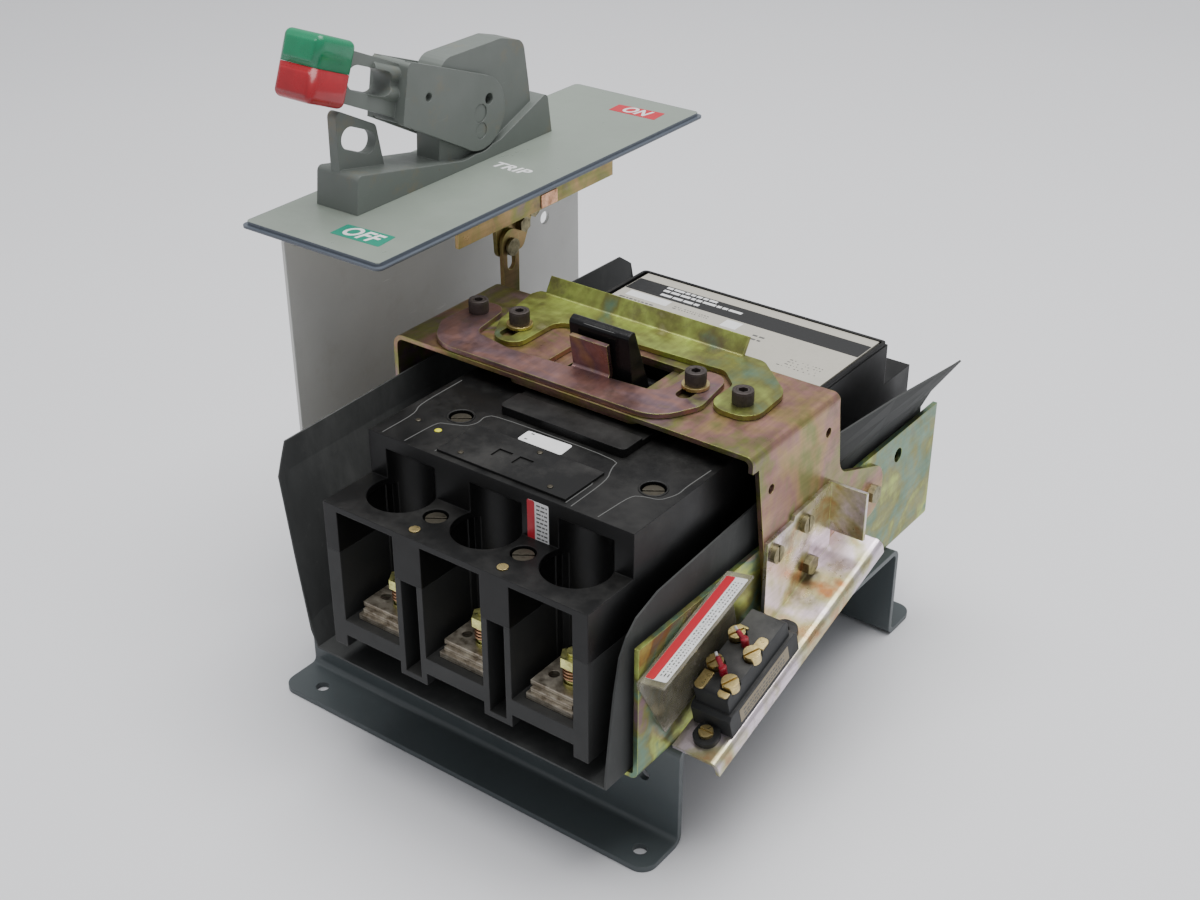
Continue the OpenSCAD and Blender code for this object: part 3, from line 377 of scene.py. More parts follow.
# %% Terminal finish
def tinned_leaves(name):
    f = Finish(name, (0.42, 0.37, 0.29), 0.9, 0.42)
    f.rounded_edges(0.3)
    mottle = f.noise(5, 6, 0.7)
    tint = f.ramp(mottle, [(0.3, (0.20, 0.16, 0.11)), (0.5, (0.46, 0.41, 0.33)), (0.7, (0.60, 0.56, 0.47))])
    leaf = f.maths("FRACT", f.maths("MULTIPLY", f.axis("Z"), 1000 / 1.25))
    gap = f.ramp(leaf, [(0.0, 0.0), (0.12, 1.0), (0.88, 1.0), (1.0, 0.0)])
    f.colour(f.mixed(gap, (0.06, 0.045, 0.03), tint))
    f.gloss(mottle, 0.32, 0.6)
    return f.relief(gap, 0.12, 0.7)


tinned_pads = tinned_leaves("tinned_pads")

# %% [markdown]
# ## Mouldings
# The case is glass-filled thermoset: nearly black, satin, with a fine pebble from the tool and a film of dust on its
# upward faces. The dust follows the face's own direction, so it needs the normal's Z.

# %% Moulding finishes
def moulding(name, colour, roughness, dust, seed=0.0, rounding=0.7):
    f = Finish(name, colour, 0.0, roughness, Specular_IOR_Level=0.24)
    f.rounded_edges(rounding)
    up = f.tree.nodes.new("ShaderNodeSeparateXYZ")
    f.link(f.tree.nodes.new("ShaderNodeNewGeometry").outputs["Normal"], up.inputs[0])
    lying = f.ramp(up.outputs["Z"], [(0.4, 0.0), (0.95, 1.0)])
    cloud = f.noise(38, 7, 0.68, shift=(seed, 0, 0))
    specks = f.ramp(f.cells(2.6, (seed, 1, 0)), [(0.0, 1.0), (0.10, 0.0)])
    smear = f.ramp(cloud, [(0.42, 0.0), (0.75, dust)])
    film = f.maths("MULTIPLY", lying, f.maths("ADD", smear, f.maths("MULTIPLY", specks, dust * 0.7)), True)
    darker, lighter = tuple(c * 0.8 for c in colour), tuple(c * 1.25 for c in colour)
    tone = f.mixed(f.noise(18, 4, 0.6, shift=(0, seed, 0)), darker, lighter)
    tone = f.mixed(film, tone, (0.30, 0.29, 0.27))
    worn = f.maths("MULTIPLY", f.worn_edges(0.05, 0.5), 0.35)
    f.colour(f.mixed(worn, tone, tuple(c * 3 + 0.03 for c in colour)))
    f.gloss(cloud, roughness - 0.07, roughness + 0.14)
    return f.relief(f.noise(0.7, 2, 0.5), 0.03, 0.35)


cover_black = moulding("cover_black", (0.005, 0.005, 0.005), 0.36, 0.08)
base_grey = moulding("base_grey", (0.022, 0.0225, 0.022), 0.46, 0.13, 3.0)
toggle_black = moulding("toggle_black", (0.007, 0.007, 0.0074), 0.2, 0.05, 5.0, 0.9)
panel_black = moulding("panel_black", (0.0085, 0.0085, 0.0085), 0.4, 0.12, 7.0, 0.4)
switch_black = moulding("switch_black", (0.022, 0.023, 0.024), 0.42, 0.28, 9.0, 0.8)

# %% [markdown]
# ## Fishpaper barrier
# The barrier is vulcanised fibre: matt, grey-black, slightly furry, with scuffs and pale streaks.

# %% Fishpaper
def fibre(name):
    f = Finish(name, (0.045, 0.047, 0.046), 0.0, 0.7, Specular_IOR_Level=0.4)
    scuff = f.noise(60, 8, 0.72, (1, 1, 0.35))
    streak = f.noise(7, 5, 0.7, (0.15, 1, 1), (2, 0, 0))
    tone = f.ramp(scuff, [(0.3, (0.028, 0.029, 0.029)), (0.52, (0.046, 0.048, 0.047)),
                          (0.72, (0.085, 0.087, 0.084))])
    f.colour(f.mixed(f.ramp(streak, [(0.6, 0.0), (0.78, 0.5)]), tone, (0.09, 0.09, 0.086)))
    f.gloss(scuff, 0.6, 0.85)
    return f.relief(f.noise(1.2, 4, 0.7), 0.05, 0.5)


fishpaper = fibre("fishpaper")

# %% [markdown]
# ## Paints
# The pan is slate grey, the handle casting a mid grey over rough cast iron, the faceplate pale green-grey enamel and
# the side plate off-white. One recipe covers them: orange-peel relief, slow changes of tone, scratches, chipped
# edges and rust in patches, heaviest on the casting.

# %% Paint finishes
def paint(name, colour, roughness, peel, chip, wear=0.4, rust=0.0, seed=0.0, coat=0.0, rim=None):
    """A paint. rim is (node, width in mm, colour): primer of that colour shows that near the node's edges in plan,
    and below its top."""
    f = Finish(name, colour, 0.0, roughness, Coat_Weight=coat, Coat_Roughness=0.2)
    f.rounded_edges(0.8)
    cloud = f.noise(70, 5, 0.6, shift=(seed, 0, 0))
    tone = f.mixed(cloud, tuple(c * 0.86 for c in colour), tuple(min(1, c * 1.13) for c in colour))
    scratch = f.ramp(f.noise(5, 5, 0.75, (1, 0.06, 1), (0, seed, 0), 0.4, (0, 0, 0.7)), [(0.66, 0.0), (0.74, 0.5)])
    tone = f.mixed(scratch, tone, tuple(min(1, c * 1.6 + 0.03) for c in colour))
    if rust:
        spread = f.ramp(f.noise(24, 8, 0.75, shift=(seed, 4, 1)), [(0.55, 0.0), (0.75, rust)])
        tone = f.mixed(spread, tone, (0.23, 0.17, 0.08))
        spots = f.ramp(f.noise(6, 6, 0.7, shift=(9, seed, 1)), [(0.67, 0.0), (0.74, rust)])
        tone = f.mixed(spots, tone, (0.12, 0.07, 0.035))
    if rim:
        low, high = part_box(rim[0])
        inside = f.maths("GREATER_THAN", f.axis("Z"), high.z - 0.0005)
        for letter, a, b in zip("XY", low, high):
            off = f.maths("ABSOLUTE", f.maths("SUBTRACT", f.axis(letter), (a + b) / 2), 0)
            inside = f.maths("MULTIPLY", inside, f.maths("LESS_THAN", off, (b - a) / 2 - rim[1] / 1000))
        tone = f.mixed(inside, rim[2], tone)
    edge = f.maths("MULTIPLY", f.worn_edges(0.03, 0.35), f.ramp(f.noise(6, 4, 0.7), [(0.35, 0.0), (0.6, wear)]))
    f.colour(f.mixed(edge, tone, chip))
    f.gloss(f.noise(22, 5, 0.65, shift=(seed, 9, 0)), roughness - 0.08, roughness + 0.15)
    return f.relief(f.noise(peel, 4, 0.62), 0.09, 0.35)


slate_paint = paint("slate_paint", (0.074, 0.088, 0.092), 0.36, 2.5, (0.17, 0.19, 0.2), 0.5, seed=1.0)
casting_grey = paint("casting_grey", (0.135, 0.152, 0.138), 0.42, 1.6, (0.34, 0.36, 0.34), 0.6, 0.55, 2.0)
face_enamel = paint("face_enamel", (0.225, 0.26, 0.222), 0.34, 3.5, (0.12, 0.14, 0.16), 0.5, seed=3.0, coat=0.15,
                    rim=("faceplate", 2.2, (0.085, 0.10, 0.125)))
off_white = paint("off_white", (0.60, 0.60, 0.57), 0.42, 3.0, (0.4, 0.4, 0.37), 0.4, 0.12, 4.0)

# %% [markdown]
# ## Glossy knob plastics, leads and the clear cover
# The knob is two injection mouldings, glossy with fine scratches. The switch cover is thin clear sheet gone amber.

# %% Plastics
def glossy_plastic(name, colour, dark, seed):
    f = Finish(name, colour, 0.0, 0.22, Coat_Weight=0.2, Coat_Roughness=0.1)
    f.rounded_edges(1.6)
    cloud = f.noise(13, 6, 0.7, shift=(seed, 0, 0))
    tone = f.mixed(f.ramp(cloud, [(0.35, 0.0), (0.75, 0.6)]), colour, dark)
    scratch = f.ramp(f.noise(3, 5, 0.8, (1, 0.1, 0.6), (seed, 1, 0), 0.6), [(0.66, 0.0), (0.76, 0.5)])
    f.colour(f.mixed(scratch, tone, tuple(min(1, c * 1.5 + 0.05) for c in colour)))
    f.gloss(cloud, 0.16, 0.36)
    return f.relief(f.noise(1.8, 4, 0.6), 0.04, 0.4)


knob_green = glossy_plastic("knob_green", (0.006, 0.235, 0.105), (0.004, 0.13, 0.06), 1)
knob_red = glossy_plastic("knob_red", (0.37, 0.010, 0.018), (0.20, 0.006, 0.010), 2)
lead_red = glossy_plastic("lead_red", (0.36, 0.012, 0.03), (0.2, 0.01, 0.02), 3)


def amber_sheet(name):
    f = Finish(name, (0.30, 0.27, 0.19), 0.0, 0.18, Transmission_Weight=0.0, Alpha=0.55, Coat_Weight=0.5)
    smudge = f.noise(16, 6, 0.7)
    f.colour(f.ramp(smudge, [(0.35, (0.16, 0.145, 0.10)), (0.7, (0.42, 0.39, 0.30))]))
    f.gloss(smudge, 0.1, 0.32)
    return f.relief(f.noise(5, 3, 0.5), 0.05, 0.3)


clear_amber = amber_sheet("clear_amber")

# %% [markdown]
# ## Printed foil
# The rating plate is a thin greige foil. Its black header and white box are separate printed patches made below, so
# the foil itself only needs a soft brushed tone and handling marks.

# %% Foil and print finishes
def printed(name, colour, roughness=0.45, metallic=0.0, seed=0.0):
    f = Finish(name, colour, metallic, roughness)
    rub = f.noise(9, 6, 0.7, shift=(seed, 0, 0))
    f.colour(f.mixed(f.ramp(rub, [(0.4, 0.0), (0.75, 0.35)]), colour, tuple(c * 0.6 for c in colour)))
    f.gloss(rub, roughness - 0.08, roughness + 0.15)
    return f.relief(f.noise(2.5, 3, 0.5), 0.02, 0.3)


foil = printed("foil", (0.50, 0.475, 0.41), 0.42, 0.15)
print_black = printed("print_black", (0.012, 0.012, 0.012), 0.4, seed=1)
print_white = printed("print_white", (0.72, 0.72, 0.72), 0.5, seed=2)
print_green = printed("print_green", (0.012, 0.23, 0.15), 0.4, seed=3)
print_red = printed("print_red", (0.50, 0.02, 0.035), 0.4, seed=4)
print_yellow = printed("print_yellow", (0.62, 0.60, 0.02), 0.4, seed=5)
print_line = printed("print_line", (0.20, 0.20, 0.195), 0.5, seed=6)
print_ink = printed("print_ink", (0.10, 0.10, 0.095), 0.5, seed=7)

# %% [markdown]
# ## Dressing the CAD bodies
# Every CAD node keeps its shape and only gets a finish.

# %% Dress the CAD nodes
DRESS = {
    slate_paint: "base_pan",
    fishpaper: "insulating_barrier",
    zinc_side: "pan_side_plate",
    zinc_bridge: "bridge_bracket slide_carriage",
    zinc_front: "front_slide_plate",
    zinc_rear: "rear_slide_plate",
    zinc_tray: "switch_bracket",
    zinc_frame: "mechanism_frame drive_link",
    dark_zinc: "bridge_screws frame_bolts bracket_screws",
    bright_zinc: "case_spacers",
    base_grey: "case_base",
    cover_black: "case_cover escutcheon",
    panel_black: "access_panel",
    foil: "label_plate",
    tinned_pads: "line_terminals load_terminals",
    bolt_zinc: "line_terminal_bolts load_terminal_bolts",
    screw_steel: "cover_screws",
    brass: "ledge_inserts guide_washers switch_screws switch_clips",
    toggle_black: "toggle_handle",
    black_oxide: "slide_bolts guide_bolts",
    off_white: "handle_side_plate",
    face_enamel: "faceplate",
    casting_grey: "handle_base pivot_pin handle_lever lever_rivet",
    knob_green: "knob_top",
    knob_red: "knob_bottom",
    switch_black: "switch_body",
    lead_red: "switch_leads",
    clear_amber: "switch_cover",
}
dressed_nodes = set()
for finish, names in DRESS.items():
    for name in names.split():
        cad[name].data.materials.clear()
        cad[name].data.materials.append(finish.material)
        dressed_nodes.add(name)
print("undressed:", sorted(set(cad) - dressed_nodes))

# %% [markdown]
# ## Four ways to make a small detail
# A plate is an outline with thickness. A rib is a small profile carried along a path. A tube follows a space curve.
# A turned piece is a profile spun round an axis, with ridges if it is knurled. Almost every detail is one of these.

# %% Outlines and plates
def quad_outline(corners, radius, steps=5):
    """Each corner C becomes the curve (1-t)^2 A + 2t(1-t) C + t^2 B, where A lies radius before C and B past it."""
    c = np.asarray(corners, float)
    back, ahead = np.roll(c, 1, 0) - c, np.roll(c, -1, 0) - c
    a = c + radius * back / np.linalg.norm(back, axis=1, keepdims=True)
    b = c + radius * ahead / np.linalg.norm(ahead, axis=1, keepdims=True)
    t = np.linspace(0, 1, steps)[None, :, None]
    return ((1 - t) ** 2 * a[:, None] + 2 * t * (1 - t) * c[:, None] + t ** 2 * b[:, None]).reshape(-1, c.shape[1])


def box_outline(x0, y0, x1, y1, radius):
    """A rounded rectangle, anticlockwise."""
    return quad_outline([[x0, y0], [x1, y0], [x1, y1], [x0, y1]], radius)


def plate(name, outline, low, high, place=at):
    """An outline in x and y with thickness from low to high, taken to its place by place(x, y, z)."""
    x, y = outline[:, 0], outline[:, 1]
    grid = np.stack([place(x, y, np.full(len(x), z)) for z in (low, high)])
    return surface(name, grid, ring=True, caps=True, smooth=False)


def rib(name, path, width, height, z, ends=True, place=at):
    """A rectangle width by height carried along a flat path: each side lies half a width along the path's normal."""
    path = np.asarray(path, float)
    t = np.gradient(path, axis=0)
    n = np.stack([-t[:, 1], t[:, 0]], 1) / np.linalg.norm(t, axis=1, keepdims=True) * width / 2
    sides = [(path + n, 0), (path - n, 0), (path - n, height), (path + n, height)]
    grid = np.stack([place(q[:, 0], q[:, 1], np.full(len(q), z + h)) for q, h in sides], axis=1)
    return surface(name, grid[:, ::-1], ring=True, loop=not ends, caps=ends, smooth=False)


def softened(points, times=2):
    """Cuts the corners of a path: each pass keeps points a fifth and four fifths along each leg."""
    points = np.asarray(points, float)
    for _ in range(times):
        a, b = points[:-1], points[1:]
        inner = np.stack([0.8 * a + 0.2 * b, 0.2 * a + 0.8 * b], 1).reshape(-1, points.shape[1])
        points = np.vstack([points[:1], inner[1:-1], points[-1:]])
    return points


# %% Tubes and turned pieces
def tube(name, path, radius, sides=10, up=(0, 0, 1)):
    """A circle of radius mm carried along a path in metres: p + r (cos a S + sin a N), with S across and N upright."""
    t = np.gradient(path, axis=0)
    t /= np.linalg.norm(t, axis=1, keepdims=True)
    s = np.cross(t, up)
    s /= np.linalg.norm(s, axis=1, keepdims=True)
    n = np.cross(s, t)
    a = np.linspace(0, 2 * np.pi, sides, endpoint=False)[None, :, None]
    grid = path[:, None] + radius / 1000 * (np.cos(a) * s[:, None] + np.sin(a) * n[:, None])
    return surface(name, grid[:, ::-1], ring=True, caps=True)


def turned(name, profile, centre, sides=48, hollow=False, ripple=None):
    """Spins (radius, height) pairs about Z at centre. A hollow piece joins its last pair to its first. A ripple is
    (ridges, depth, first row, last row): r(a) = radius (1 + depth cos(ridges a)) on those rows."""
    r, z = np.asarray(profile, float).T
    a = np.linspace(0, 2 * np.pi, sides, endpoint=False)
    wave = np.ones((len(r), sides))
    if ripple:
        ridges, depth, first, last = ripple
        wave[first:last + 1] += depth * np.cos(ridges * a)
    x = centre[0] + r[:, None] * wave * np.cos(a)
    y = centre[1] + r[:, None] * wave * np.sin(a)
    return surface(name, at(x, y, centre[2] + z[:, None] + 0 * x), ring=True, loop=hollow, caps=not hollow)


def block(name, low, high, radius, place, cut=(-1e9, 1e9), steps=9):
    """A box with every edge rounded: sign(n) (half - r) + r n, for each direction n of a sphere's grid. What lies
    outside the heights in cut is pressed flat on to them, which leaves a sharp flat seam."""
    low, high = np.asarray(low, float), np.asarray(high, float)
    half, mid = (high - low) / 2 - radius, (high + low) / 2
    u = np.concatenate([np.linspace(k, k + 1, steps) for k in range(4)]) * np.pi / 2
    v = np.concatenate([np.linspace(-1, -1e-6, steps), np.linspace(1e-6, 1, steps)]) * np.pi / 2
    v = np.clip(v, -np.pi / 2 + 1e-3, np.pi / 2 - 1e-3)
    side = np.repeat(np.arange(4), steps)
    sx, sy = np.array([1, -1, -1, 1])[side], np.array([1, 1, -1, -1])[side]
    n = np.stack([np.cos(v)[:, None] * np.cos(u), np.cos(v)[:, None] * np.sin(u), np.sin(v)[:, None] + 0 * u], -1)
    corner = np.stack([sx + 0 * v[:, None], sy + 0 * v[:, None], np.sign(v)[:, None] + 0 * u], -1)
    p = mid + corner * half + radius * n
    p[..., 2] = np.clip(p[..., 2], *cut)
    return surface(name, place(p[..., 0], p[..., 1], p[..., 2]), ring=True, caps=True)


# %% [markdown]
# ## Words on the faceplate
# The three positions of the handle are printed on the faceplate: OFF in a green panel, TRIP alone, ON in a red one.
# The letters are wide italics, so a text curve is thickened, sheared and turned into a mesh before it is placed.

# %% Faceplate words
def word(name, text, x0, x1, y0, height, z):
    """Letters as thin plates whose lower left corner is x0, y0 and whose width is x1 - x0 mm, at height z."""
    curve = bpy.data.curves.new(name, "FONT")
    curve.body, curve.size, curve.shear, curve.extrude, curve.offset = text, 1.0, 0.22, 0.004, 0.028
    curve.space_character = 1.06
    holder = bpy.data.objects.new(name + "_curve", curve)
    bpy.context.scene.collection.objects.link(holder)
    bpy.context.view_layer.update()
    mesh = bpy.data.meshes.new_from_object(holder.evaluated_get(bpy.context.evaluated_depsgraph_get()))
    bpy.data.objects.remove(holder)
    points = np.zeros(len(mesh.vertices) * 3, np.float32)
    mesh.vertices.foreach_get("co", points)
    points = points.reshape(-1, 3)
    low, span = points.min(0), np.ptp(points, axis=0)
    unit = (points - low) / span
    placed = at(x0 + unit[:, 0] * (x1 - x0), y0 + unit[:, 1] * height, z + unit[:, 2] * 0.12)
    mesh.vertices.foreach_set("co", placed.astype(np.float32).ravel())
    mesh.update()
    piece = bpy.data.objects.new(name, mesh)
    bpy.context.scene.collection.objects.link(piece)
    return piece


off_shape = quad_outline([[-75.5, 91], [-44, 92.4], [-45.5, 106.6], [-76, 104.4]], 0.8)
on_shape = quad_outline([[-75.5, 324.6], [-43.5, 325.4], [-44.5, 338.4], [-76, 336]], 0.8)
dressed(plate("off_panel", off_shape, FACE, FACE + 0.1), print_green, "base")
dressed(plate("on_panel", on_shape, FACE, FACE + 0.1), print_red, "base")
dressed(word("off_word", "OFF", -71.5, -48.5, 93.6, 10.6, FACE + 0.1), print_white, "base")
dressed(word("on_word", "ON", -68.5, -50.5, 326.6, 9.8, FACE + 0.1), print_white, "base")
dressed(word("trip_word", "TRIP", -71.5, -47.5, 211, 7.6, FACE), print_white, "base")

# %% [markdown]
# ## Moulded lines on the cover
# The cover's top carries shallow moulded contours round the trip panel and the pole screws. They catch dust, so they
# are ribs barely a tenth of a millimetre high in a paler tone.

# %% Cover contours
panel_low, panel_high = along("access_panel")
CONTOURS = [
    [(7.2, 34.5), (7.3, 56.7), (3.2, 64.9), (3.2, 96)],
    [(21, 34.5), (21.8, 56.5), (26.7, 58.5), (35, 61.9), (37.4, 67.7), (36, 73.6), (39.2, 78), (111.2, 78.6),
     (112.5, 71.2), (117, 61.4), (117.5, 34.5)],
    [(132, 34.5), (133.4, 57), (138.1, 59.8), (145.6, 61.5), (149.2, 70), (148.6, 77.7), (149.4, 96)],
    [(panel_low[0] - 0.6, panel_low[1] - 0.6), (panel_low[0] - 0.6, panel_high[1] + 0.6),
     (panel_high[0] + 0.6, panel_high[1] + 0.6), (panel_high[0] + 0.6, panel_low[1] - 0.6)],
]
dust_line = printed("dust_line", (0.085, 0.085, 0.082), 0.6, seed=8)
lines = [rib(f"contour{i}", softened(path), 0.55, 0.1, TOP) for i, path in enumerate(CONTOURS)]
dressed(joined("cover_contours", lines), dust_line, "base")
lip = [(5.9, -0.4), (6.9, -0.4), (6.9, 0.25), (6.5, 0.45), (5.9, 0.25)]
rings = [turned(f"ring{i}", lip, (x, 67.7, TOP), hollow=True) for i, x in enumerate((26.9, 137.8))]
dressed(joined("screw_recess_lips", rings), panel_black, "base")
test_dot = turned("test_dot", [(1.9, 0.0), (1.5, 0.25), (0.2, 0.25)], (27, 51.1, TOP))
dressed(test_dot, print_yellow, "base")
PANEL = panel_high[2]
dot_at = [(50.2, 40.2, PANEL), (79.3, 61.4, PANEL), (101.4, 40.6, PANEL), (12.9, 53, TOP)]
dots = [turned(f"dot{i}", [(1.5, 0), (1.4, 0.3), (0.9, 0.45), (0.3, 0.3)], p, 20) for i, p in enumerate(dot_at)]
dressed(joined("panel_dots", dots), screw_steel, "base")

# %% [markdown]
# ## Stickers without words
# The unit carries a white label on its cover, a striped caution sticker on the wall between two wells and one on the
# clear guard. None is readable here: their print is short bars, so they look printed and say nothing.

# %% Printed bars
def print_bars(name, x0, x1, rows, height, seed, z, place=at, gap=0.9):
    """Bars of random width between gaps, in rows from x0 to x1: the bars' ends are running sums of random widths."""
    rng = np.random.default_rng(seed)
    count = max(2, int((x1 - x0) / (height * 2.2)))
    corners = []
    for row in rows:
        widths = rng.uniform(0.5, 1.8, count)
        ends = np.cumsum(widths + gap / height * 0.5)
        ends = x0 + ends / ends[-1] * (x1 - x0)
        starts = np.concatenate([[x0], ends[:-1] + gap])
        keep = ends - starts > 0.2
        a, b = starts[keep], ends[keep]
        y = np.full(len(a), float(row))
        corners.append(np.stack([np.stack([a, y], 1), np.stack([b, y], 1), np.stack([b, y + height], 1),
                                 np.stack([a, y + height], 1)], 1))
    c = np.concatenate(corners).reshape(-1, 2)
    low, high = place(c[:, 0], c[:, 1], np.full(len(c), z)), place(c[:, 0], c[:, 1], np.full(len(c), z + 0.04))
    n = len(c) // 4
    base = 4 * np.arange(n)[:, None]
    up = base + np.array([0, 1, 2, 3]) + len(c)
    down = base + np.array([3, 2, 1, 0])
    edges = [(base[:, 0] + i, base[:, 0] + (i + 1) % 4) for i in range(4)]
    walls = [np.stack([a, b, b + len(c), a + len(c)], 1) for a, b in edges]
    return mesh_object(name, np.vstack([low, high]), np.vstack([up, down] + walls), np.zeros((0, 3), int), False)


label_shape = quad_outline([[61.6, 66.7], [87.1, 66.6], [86.4, 76.8], [61.1, 75.9]], 1.4)
dressed(plate("cover_label", label_shape, TOP, TOP + 0.12), print_white, "base")
label_bars = print_bars("cover_label_print", 64, 84, (68.6, 74), 0.9, 3, TOP + 0.12, gap=2.4)
dressed(label_bars, print_ink, "base")
WALL = along("case_cover")[0][1] + 32.7


def on_wall(x, y, z):
    """Sticker coordinates on the upright wall between the wells: y runs up and z comes out of the wall."""
    return at(x, WALL - z, y)


wall_sheet = plate("wall_sticker", box_outline(94.6, 150.5, 106.6, 171.5, 1), 0.02, 0.14, on_wall)
wall_band = plate("wall_sticker_band", box_outline(94.6, 150.5, 98.8, 171.5, 0.9), 0.14, 0.2, on_wall)
wall_rows = np.arange(152.5, 170, 2.1)
wall_bars = print_bars("wall_sticker_print", 99.8, 105.8, wall_rows, 0.8, 5, 0.14, on_wall, 0.5)
dressed(wall_sheet, print_white, "base")
dressed(wall_band, print_red, "base")
dressed(wall_bars, print_ink, "base")

# %% [markdown]
# ## The rating plate
# A raised black rim frames the foil. The header is a black band with pale bars for its text, and there are two white
# boxes and some small print. The plates lie on the foil a tenth of a millimetre apart.

# %% Rating plate
label_low, label_high = along("label_plate")
FOIL = label_high[2]
header_shape = box_outline(label_low[0] + 0.3, 231.8, label_high[0] - 0.3, 246.4, 0.6)
dressed(plate("label_header", header_shape, FOIL, FOIL + 0.06), print_black, "base")
for name, x0, x1, y, height, seed in (("label_header_print", 24, 74, 239.2, 2.3, 11),
                                      ("label_header_print_2", 23.6, 56, 243.3, 2.1, 12),
                                      ("label_header_print_3", 25.4, 50, 234.2, 2.3, 13)):
    dressed(print_bars(name, x0, x1, (y,), height, seed, FOIL + 0.06), print_white, "base")
white_boxes = [plate(f"white{i}", box_outline(*b, 0.4), FOIL, FOIL + 0.05)
               for i, b in enumerate([(9.4, 224.2, 36, 230.6), (71.6, 221.8, 81.3, 230.2)])]
dressed(joined("label_white_boxes", white_boxes), print_white, "base")
small = [print_bars("small0", 122, 141, (209.4, 206.8, 204), 0.7, 15, FOIL, gap=1.2),
         print_bars("small1", 118.8, 141, (201.2,), 0.7, 16, FOIL, gap=1.2),
         print_bars("small2", 8, 30, (220.4,), 1.2, 17, FOIL, gap=0.8),
         print_bars("small3", 40, 62, (226.4, 224.4), 0.7, 18, FOIL, gap=0.9),
         print_bars("small4", 92, 99, (221.6, 217.4), 1.5, 19, FOIL, gap=1.0)]
dressed(joined("label_small_print", small), print_ink, "base")
rim = box_outline(1.3, label_low[1] - 1, 151.1, label_high[1] + 0.6, 2)
rim = np.vstack([rim, rim[:1]])
dressed(rib("label_rim", rim, 1.8, 1.7, TOP), cover_black, "base")

# %% [markdown]
# ## Bolts with grip
# The four socket screws have knurled heads: a turned sleeve just over the CAD head, with 40 fine ridges. The driving
# screws ride with the sliding plates and the guiding ones stay with the base.

# %% Knurled heads
def knurled_head(name, node, index):
    """A hollow knurled sleeve round one of a node's two heads. The sleeve's inner side lies inside the CAD head."""
    low, high = along(node)
    radius, height = 5.1, 6.8
    x = (low[0] + radius, high[0] - radius)[index]
    y = (high[1] - radius, low[1] + radius)[index]
    profile = [(radius - 0.7, 0.4), (radius - 0.1, 0.35), (radius + 0.08, 0.8), (radius + 0.1, 1.2),
               (radius + 0.1, height - 1.3), (radius + 0.06, height - 0.7), (radius - 0.35, height + 0.05),
               (radius * 0.62, height + 0.06), (radius * 0.62, height - 0.3)]
    return turned(name, profile, (x, y, high[2] - height), 160, hollow=True, ripple=(40, 0.012, 3, 4))


for node_name, body in (("slide_bolts", "slide"), ("guide_bolts", "base")):
    for i in (0, 1):
        dressed(knurled_head(f"{node_name}_knurl_{i + 1}", node_name, i), black_oxide, body)

# %% [markdown]
# ## Springs on the terminal bolts
# A copper-coloured spring sits under each bolt's head and keeps its washer up. It is a helix: the angle and the
# height grow together, and a tube follows it.

# %% Terminal springs
def spring(name, x, y, z0, z1, radius, turns):
    """A tube along (r cos 2 pi n t, r sin 2 pi n t, z0 + (z1 - z0) t), t from 0 to 1."""
    t = np.linspace(0, 1, turns * 20 + 1)
    a = 2 * np.pi * turns * t
    return tube(name, at(x + radius * np.cos(a), y + radius * np.sin(a), z0 + (z1 - z0) * t), 0.5, 8)


def spring_row(name, node):
    """Three springs under the heads of a row of terminal bolts."""
    low, high = along(node)
    mid_y = (low[1] + high[1]) / 2
    xs = (np.array([-50.8, 0, 50.8]) + (low[0] + high[0]) / 2)
    foot, head = high[2] - 14.2, high[2] - 5.4
    return joined(name, [spring(f"{name}{i}", x, mid_y, foot, head, 4.9, 5) for i, x in enumerate(xs)])


dressed(spring_row("line_springs", "line_terminal_bolts"), copper, "base")
dressed(spring_row("load_springs", "load_terminal_bolts"), copper, "base")

# %% [markdown]
# ## The toggle's rim line
# A pale moulded line runs round the toggle's top. The top slopes, so the loop's height follows its Y.

# %% Toggle rim line
tog_low, tog_high = along("toggle_handle")
tog_x = (tog_low[0] + tog_high[0]) / 2
half_len = 35 / 2 - 2.4
loop_t = np.linspace(0, 2 * np.pi, 65)[:-1]
loop_x = tog_x + half_len * np.tanh(3.2 * np.cos(loop_t)) / np.tanh(3.2)
loop_y = 1.25 * np.sin(loop_t)
TOGGLE_TOP = (125.1, tog_high[2] - 1.15)
slope = 2.5 / 5.1
rim_path = at(loop_x, TOGGLE_TOP[0] + loop_y, TOGGLE_TOP[1] + slope * loop_y + 0.12)
angle = np.linspace(0, 2 * np.pi, 8, endpoint=False)
ahead = np.roll(rim_path, -1, 0) - np.roll(rim_path, 1, 0)
ahead /= np.linalg.norm(ahead, axis=1, keepdims=True)
upward = np.array([0, -slope, 1]) / math.hypot(slope, 1)
across = np.cross(ahead, upward)
LINE_RADIUS = 0.00022
round_it = np.cos(angle)[None, :, None] * across[:, None] + np.sin(angle)[None, :, None] * upward
rim_grid = rim_path[:, None] + LINE_RADIUS * round_it
rim_line = surface("toggle_rim_line", rim_grid[:, ::-1], ring=True, loop=True)
dressed(rim_line, print_line, "toggle")

# %% [markdown]
# ## The knob
# The knob is two glossy mouldings with every edge rounded, green over red, and a raised panel on its front. Rounded
# blocks replace the two CAD halves, because rounding is what makes them look moulded. They are drawn level and turned
# with the lever, which rises 22 degrees to the front.

# %% Knob
pivot = along("pivot_pin")
pivot_y, pivot_z = (pivot[0][1] + pivot[1][1]) / 2, (pivot[0][2] + pivot[1][2]) / 2
REST = math.radians(22)


def on_lever(x, y, z):
    """Lever coordinates, Y away from the knob and Z across its height, turned about the pivot."""
    c, s = math.cos(REST), math.sin(REST)
    return at(x, pivot_y + y * c + z * s, pivot_z - y * s + z * c)


